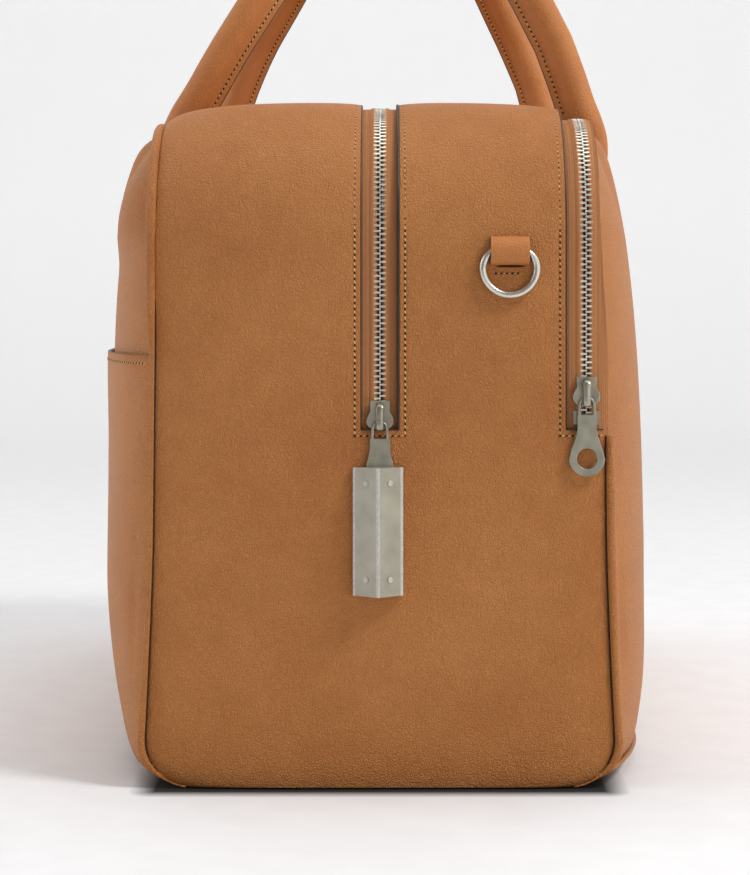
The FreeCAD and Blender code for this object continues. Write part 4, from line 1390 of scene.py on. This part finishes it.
def build_rings():
    """D rings with their leather loops, a dark blob of painted shade for the slit below each loop, and
    a line of stitches.
    """
    cx, cy, _ = 0.5 * (RING_LOW + RING_HIGH)
    w = 0.5 * (LOOP_HIGH[1] - LOOP_LOW[1])
    ring = ring_wire(cx, cy)
    band = loop_band(cy, w)
    per_ring = [0, 0, 0, 0, 1, 0, 0, 0, 0, 1]
    for sign, side in ((1, "right"), (-1, "left")):
        piece("d_ring_wire_" + side, mirror_part(ring, sign), [RING],
              "d_ring_" + side, "nickel", "d_ring_" + side)
        piece("loop_leather_" + side, mirror_part(band, sign), [STRAP, PAINT],
              "bag", "leather", "ring_loop_" + side, rounded=(0.3, 2, 50.0),
              indices=per_ring * LOOP_STEPS + [1, 1])
        # painted shade: a near-black blob stands for the shadow in the slit under the loop
        slit = blob(np.array([HALF_LENGTH - 1.1, cy, LOOP_LOW[2] - 0.2]), EY, EX,
                    (w - 0.3, 0.8, 1.5), 10, 8)
        piece("loop_slit_" + side, mirror_part(slit, sign), [HOLE_SHADE], "bag", "leather")
        run = wall_run(cy - 6.5, cy + 6.5, LOOP_LOW[2] - 3.6, sign)
        build_stitches("loop_stitches_" + side, [run], "bag")


# ---------------------------------------------------------------- handles
TUBE_R = 8.1
FLANGE = 13.0
FLANGE_HALF = 1.75
FLANGE_STITCH = FLANGE - 3.0
FLANGE_STITCH_Z = 329.0
FOOT_HALF = 13.5
FOOT_THICK = 3.0
FLANGE_TIP = (22, 23, 24)
ROPE_R = 5.4
ROPE_Z = 336.0


def handle_path(control, lean, top_y, top_z, twist, sign):
    """Centres and inward normals of a whole handle, from its right foot to its left foot."""
    a = math.radians(lean)
    up = np.array([0, math.sin(a), math.cos(a)])
    inward = np.array([0, math.cos(a), -math.sin(a)])
    centre = np.array([0, -top_y, top_z]) - up * HANDLE_X
    leg = [np.array([HANDLE_X, -y, z]) for y, z in control]
    leg.append(centre + EX * HANDLE_X - up * 8.0)
    leg = spline(leg, 10)
    turns = [math.pi * k / 48 for k in range(1, 48)]
    bow = [centre + (EX * math.cos(t) + up * math.sin(t)) * HANDLE_X for t in turns]
    left = [p * MIRROR for p in reversed(leg)]
    points = resample(leg + bow + left, 4.0)
    for point in points:
        far = smooth_step(-30.0, 110.0, -point[0])
        point[1] -= twist * far * smooth_step(312.0, 400.0, point[2])
    flip = np.array([1, -sign, 1])
    normals = []
    sides = []
    for point, tangent in zip(points, tangents(points)):
        share = smooth_step(300.0, 345.0, point[2])
        want = EY * (1 - share) + inward * share
        n = unit(want - tangent * np.dot(want, tangent))
        normals.append(n)
        sides.append(np.cross(tangent, n))
    return points * flip, [n * flip for n in normals], [s * flip for s in sides]


def teardrop():
    """Section of the rolled handle: (towards the bag, across)."""
    outline = []
    start = math.radians(24)
    for k in range(21):
        angle = start + (2 * math.pi - 2 * start) * k / 20
        outline.append((TUBE_R * math.cos(angle), TUBE_R * math.sin(angle)))
    outline += [(TUBE_R + 0.9, -1.9), (FLANGE - 0.3, -FLANGE_HALF), (FLANGE, -0.9),
                (FLANGE, 0.9), (FLANGE - 0.3, FLANGE_HALF), (TUBE_R + 0.9, 1.9)]
    return outline


def flat_section(count, half, thick):
    """Flattened foot of a handle with as many points as the round section."""
    outline = []
    for k in range(count):
        angle = 2 * math.pi * (k + 0.5) / count + math.radians(12)
        c = math.copysign(abs(math.cos(angle)) ** 0.35, math.cos(angle))
        s = math.copysign(abs(math.sin(angle)) ** 0.35, math.sin(angle))
        outline.append((thick * c, half * s))
    return outline


def build_handle(name, control, lean, top_y, top_z, twist, sign):
    """Rolled handle: flat feet over the seam, a stuffed tube, a stitched flange."""
    points, normals, sides = handle_path(control, lean, top_y, top_z, twist, sign)
    round_part = teardrop()
    flat_part = flat_section(len(round_part), FOOT_HALF, FOOT_THICK)
    count = len(round_part)

    def section(index):
        share = smooth_step(296.0, 330.0, points[index][2])
        plump = 0.55 + 0.45 * smooth_step(290.0, 306.0, points[index][2])
        return [(a * share + c * plump * (1 - share), b * share + d * (1 - share))
                for (a, b), (c, d) in zip(round_part, flat_part)]

    if sign > 0:
        sides = [s * -1 for s in sides]
    verts, faces = sweep(points, normals, sides, section)
    ring = [1 if k in FLANGE_TIP else 0 for k in range(count)]
    indices = ring * (len(points) - 1) + [1, 1]
    obj = make_object(name + "_roll", verts, faces, [STRAP, PAINT], indices)
    rope = [k for k in range(len(points)) if points[k][2] > ROPE_Z]
    core = sweep(points[rope], [normals[k] for k in rope], [sides[k] for k in rope],
                 circle(ROPE_R, 14))
    piece(name + "_rope", core, [CORD], name, "cord", name + "_core")
    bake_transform(obj)
    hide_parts(name)
    high = [k for k in range(len(points)) if points[k][2] >= FLANGE_STITCH_Z]
    runs = []
    for face in (-1, 1):
        outward = [sides[k] * face for k in high]
        line = [points[k] + normals[k] * FLANGE_STITCH + out * (FLANGE_HALF + 0.02)
                for k, out in zip(high, outward)]
        runs.append((line, outward))
    build_stitches(name + "_stitches", runs, name)


TAB_HALF = 17.0
TAB_CORNER = 7.0
TAB_SEAM = 2.6


def build_tab(name, sign, x_mid, end):
    """Thin leather tab sewn to the face, closing over the handle's foot."""
    low, high = TAB_LOW[2], TAB_HIGH[2] - 2.0

    def surface(x, z):
        lift = 1.0 + 3.4 * smooth_step(266.0, 288.0, z) * (1.0 - abs((x - x_mid) / TAB_HALF) ** 6)
        return np.array([x, sign * (face_y(x, z, sign) + lift), z])

    rows = []
    for z in np.linspace(low, high, 26):
        width = TAB_HALF - 4.5 * max(0.0, (low + TAB_CORNER - z) / TAB_CORNER) ** 2.2
        rows.append([surface(x_mid + u * width, float(z)) for u in np.linspace(-1, 1, 15)])
    piece(f"{name}_tab_leather_{end}", grid(rows, flip=sign > 0), [STRAP],
          "bag", "leather", f"{name}_handle_tab_{end}", thick=(TAB_THICK,))
    reach = TAB_HALF - TAB_SEAM
    runs = []
    for x0, z0, x1, z1 in ((-reach, high - 4, -reach, low + 6.5),
                           (4 - reach, low + TAB_SEAM, reach - 4, low + TAB_SEAM),
                           (reach, low + 6.5, reach, high - 4)):
        line = [surface(x_mid + x0 + (x1 - x0) * t, z0 + (z1 - z0) * t)
                for t in np.linspace(0, 1, 30)]
        runs.append((line, [np.array([0, sign, 0.12])] * len(line)))
    build_stitches(f"{name}_tab_stitches_{end}", runs, "bag")


def build_handles():
    """Front and back handle with their tabs."""
    front = [(120.5, 282.0), (118.8, 292.0), (116.6, 300.0), (114.2, 307.0), (111.4, 313.0),
             (107.2, 319.5), (101.4, 328.0), (93.8, 340.0), (86.8, 352.5)]
    back = [(114.6, 282.0), (114.4, 290.0), (114.6, 298.0), (114.2, 306.0), (112.4, 314.5),
            (108.8, 322.5), (104.6, 331.5), (99.4, 347.0)]
    build_handle("front_handle", front, 32.0, 11.0, 474.5, 14.0, -1)
    build_handle("back_handle", back, 27.0, 33.5, 481.5, 6.0, 1)
    for name, sign in (("front", -1), ("back", 1)):
        for end, x_sign in (("right", 1), ("left", -1)):
            build_tab(name, sign, x_sign * HANDLE_X, end)


# ---------------------------------------------------------------- stage
BACKDROP_BEND = 1200.0
LIGHTS = [
    ("key", (0.95, 1.35, 1.9), (0.1, 0, 0.2), (0.55, 0.55), 28.0),
    ("top", (-0.2, 0.0, 2.3), (0, 0, 0), (1.8, 1.8), 21.0),
    ("left_box", (0.0, -2.1, 0.9), (0.1, 0, 0.2), (1.4, 1.4), 20.0),
    ("right_box", (0.0, 2.1, 0.9), (0.1, 0, 0.2), (1.4, 1.4), 11.0),
    ("front", (2.4, 1.3, 0.5), (0.2, 0, 0.1), (1.2, 0.9), 6.0),
]
WORLD_LIGHT = 0.28
CAMERA_PLACE = (1.340, 0.0024, 0.236)
CAMERA_LENS = 95.9
CAMERA_SHIFT = (-0.0114, -0.1686)
CONTACT_SHADOW_REACH = (0.2435, 0.106)


def studio_paper():
    """White paper with a painted shadow round the bag's footprint, and painted light: emission that
    grows brighter far away.
    """
    m = Nodes("studio_paper")
    place = m.coords()
    fibres = m.noise(place, 40.0, 4.0)
    parts = m.add("ShaderNodeSeparateXYZ")
    m.link(place, parts.inputs["Vector"])
    squares = []
    for axis, reach in zip("XY", CONTACT_SHADOW_REACH):
        past = m.math("SUBTRACT", m.math("ABSOLUTE", parts.outputs[axis], 0.0), reach)
        squares.append(m.math("POWER", m.math("MAXIMUM", past, 0.0), 2.0))
    gap = m.math("SQRT", m.math("ADD", *squares), 0.0)
    # painted shadow: near-black at the bag's footprint, fading to white within about 12 mm
    painted_contact_shadow = m.ramp(m.math("MULTIPLY", gap, 80.0), [(0.0, (0.012, 0.012, 0.012, 1)),
                                                     (0.3, (0.30, 0.30, 0.30, 1)), (1.0, WHITE)])
    white = m.ramp(fibres, [(0.3, srgb(231, 231, 232)), (0.7, srgb(235, 235, 236))])
    m.multiply(1.0, white, painted_contact_shadow)
    span = m.add("ShaderNodeVectorMath", operation="LENGTH")
    m.link(place, span.inputs[0])
    # painted light: the paper emits more the farther it is from the bag's middle
    painted_glow = m.add("ShaderNodeMapRange")
    m.link(span.outputs["Value"], painted_glow.inputs["Value"])
    for key, value in (("From Min", 0.6), ("From Max", 3.4), ("To Min", 0.0), ("To Max", 0.36)):
        painted_glow.inputs[key].default_value = value
    m.link(painted_glow.outputs["Result"], m.bsdf.inputs["Emission Strength"])
    m.set(Roughness=0.9, Emission_Color=WHITE)
    return m.material


def build_floor():
    """Pale floor that curves up into a backdrop."""
    rows = []
    across = np.linspace(-4000, 4000, 9)
    for k in range(41):
        t = k / 40
        x, z = 1600.0 - 8000.0 * t, 0.0
        if t >= 0.5:
            a = (t - 0.5) * math.pi
            x = -2400.0 - BACKDROP_BEND * math.sin(a)
            z = BACKDROP_BEND * (1 - math.cos(a))
        rows.append([np.array([x, y, z]) for y in across])
    for z in (2500.0, 5000.0):
        rows.append([np.array([-3600.0, y, z]) for y in across])
    make_object("studio_floor", *grid(rows), [studio_paper()])


def add_light(name, place, aim, size, power):
    """Soft rectangular light aimed at a point, in metres."""
    data = bpy.data.lights.new(name, "AREA")
    data.shape = "RECTANGLE"
    data.size = size[0]
    data.size_y = size[1]
    data.energy = power
    lamp = bpy.data.objects.new(name, data)
    bpy.context.scene.collection.objects.link(lamp)
    lamp.location = place
    lamp.rotation_euler = (Vector(aim) - Vector(place)).to_track_quat("-Z", "Y").to_euler()


def build_light_and_camera():
    """Even studio light from above and the right, and the photographer's view of the end."""
    scene = bpy.context.scene
    scene.view_settings.view_transform = "Standard"
    world = bpy.data.worlds.new("studio")
    scene.world = world
    world.use_nodes = True
    background = world.node_tree.nodes["Background"]
    background.inputs["Color"].default_value = WHITE
    background.inputs["Strength"].default_value = WORLD_LIGHT
    for light in LIGHTS:
        add_light(*light)
    camera = bpy.data.cameras.new("camera")
    camera.sensor_width = 36.0
    camera.lens = CAMERA_LENS
    camera.clip_end = 50.0
    eye = bpy.data.objects.new("camera", camera)
    scene.collection.objects.link(eye)
    camera.shift_x, camera.shift_y = CAMERA_SHIFT
    eye.location = CAMERA_PLACE
    eye.rotation_euler = (math.pi / 2, 0.0, math.pi / 2)
    scene.camera = eye


def paint_kept_nodes():
    """Procedural materials for the CAD nodes that are shown as they are."""
    for name in ("feet", "foot_washers", "main_zip_stops", "rear_zip_stops"):
        paint_node(name, NICKEL)
    for name in ("main_lining", "rear_lining", "divider_panel"):
        paint_node(name, LINING)
    paint_node("base_board", BOARD)


build_gusset()
build_faces()
build_rear_lip()
build_pocket()
build_base()
build_pipings()
build_window_stitches()
build_window_edges()
build_tapes()
build_teeth()
build_slider("main_slider_right", MAIN_SLIDER_LOW, MAIN_SLIDER_HIGH, 1)
build_slider("main_slider_left", MAIN_SLIDER_LOW, MAIN_SLIDER_HIGH, -1)
build_slider("rear_slider", REAR_SLIDER_LOW, REAR_SLIDER_HIGH, 1)
build_pulls()
build_tag()
build_rings()
build_handles()
paint_kept_nodes()
build_floor()
build_light_and_camera()
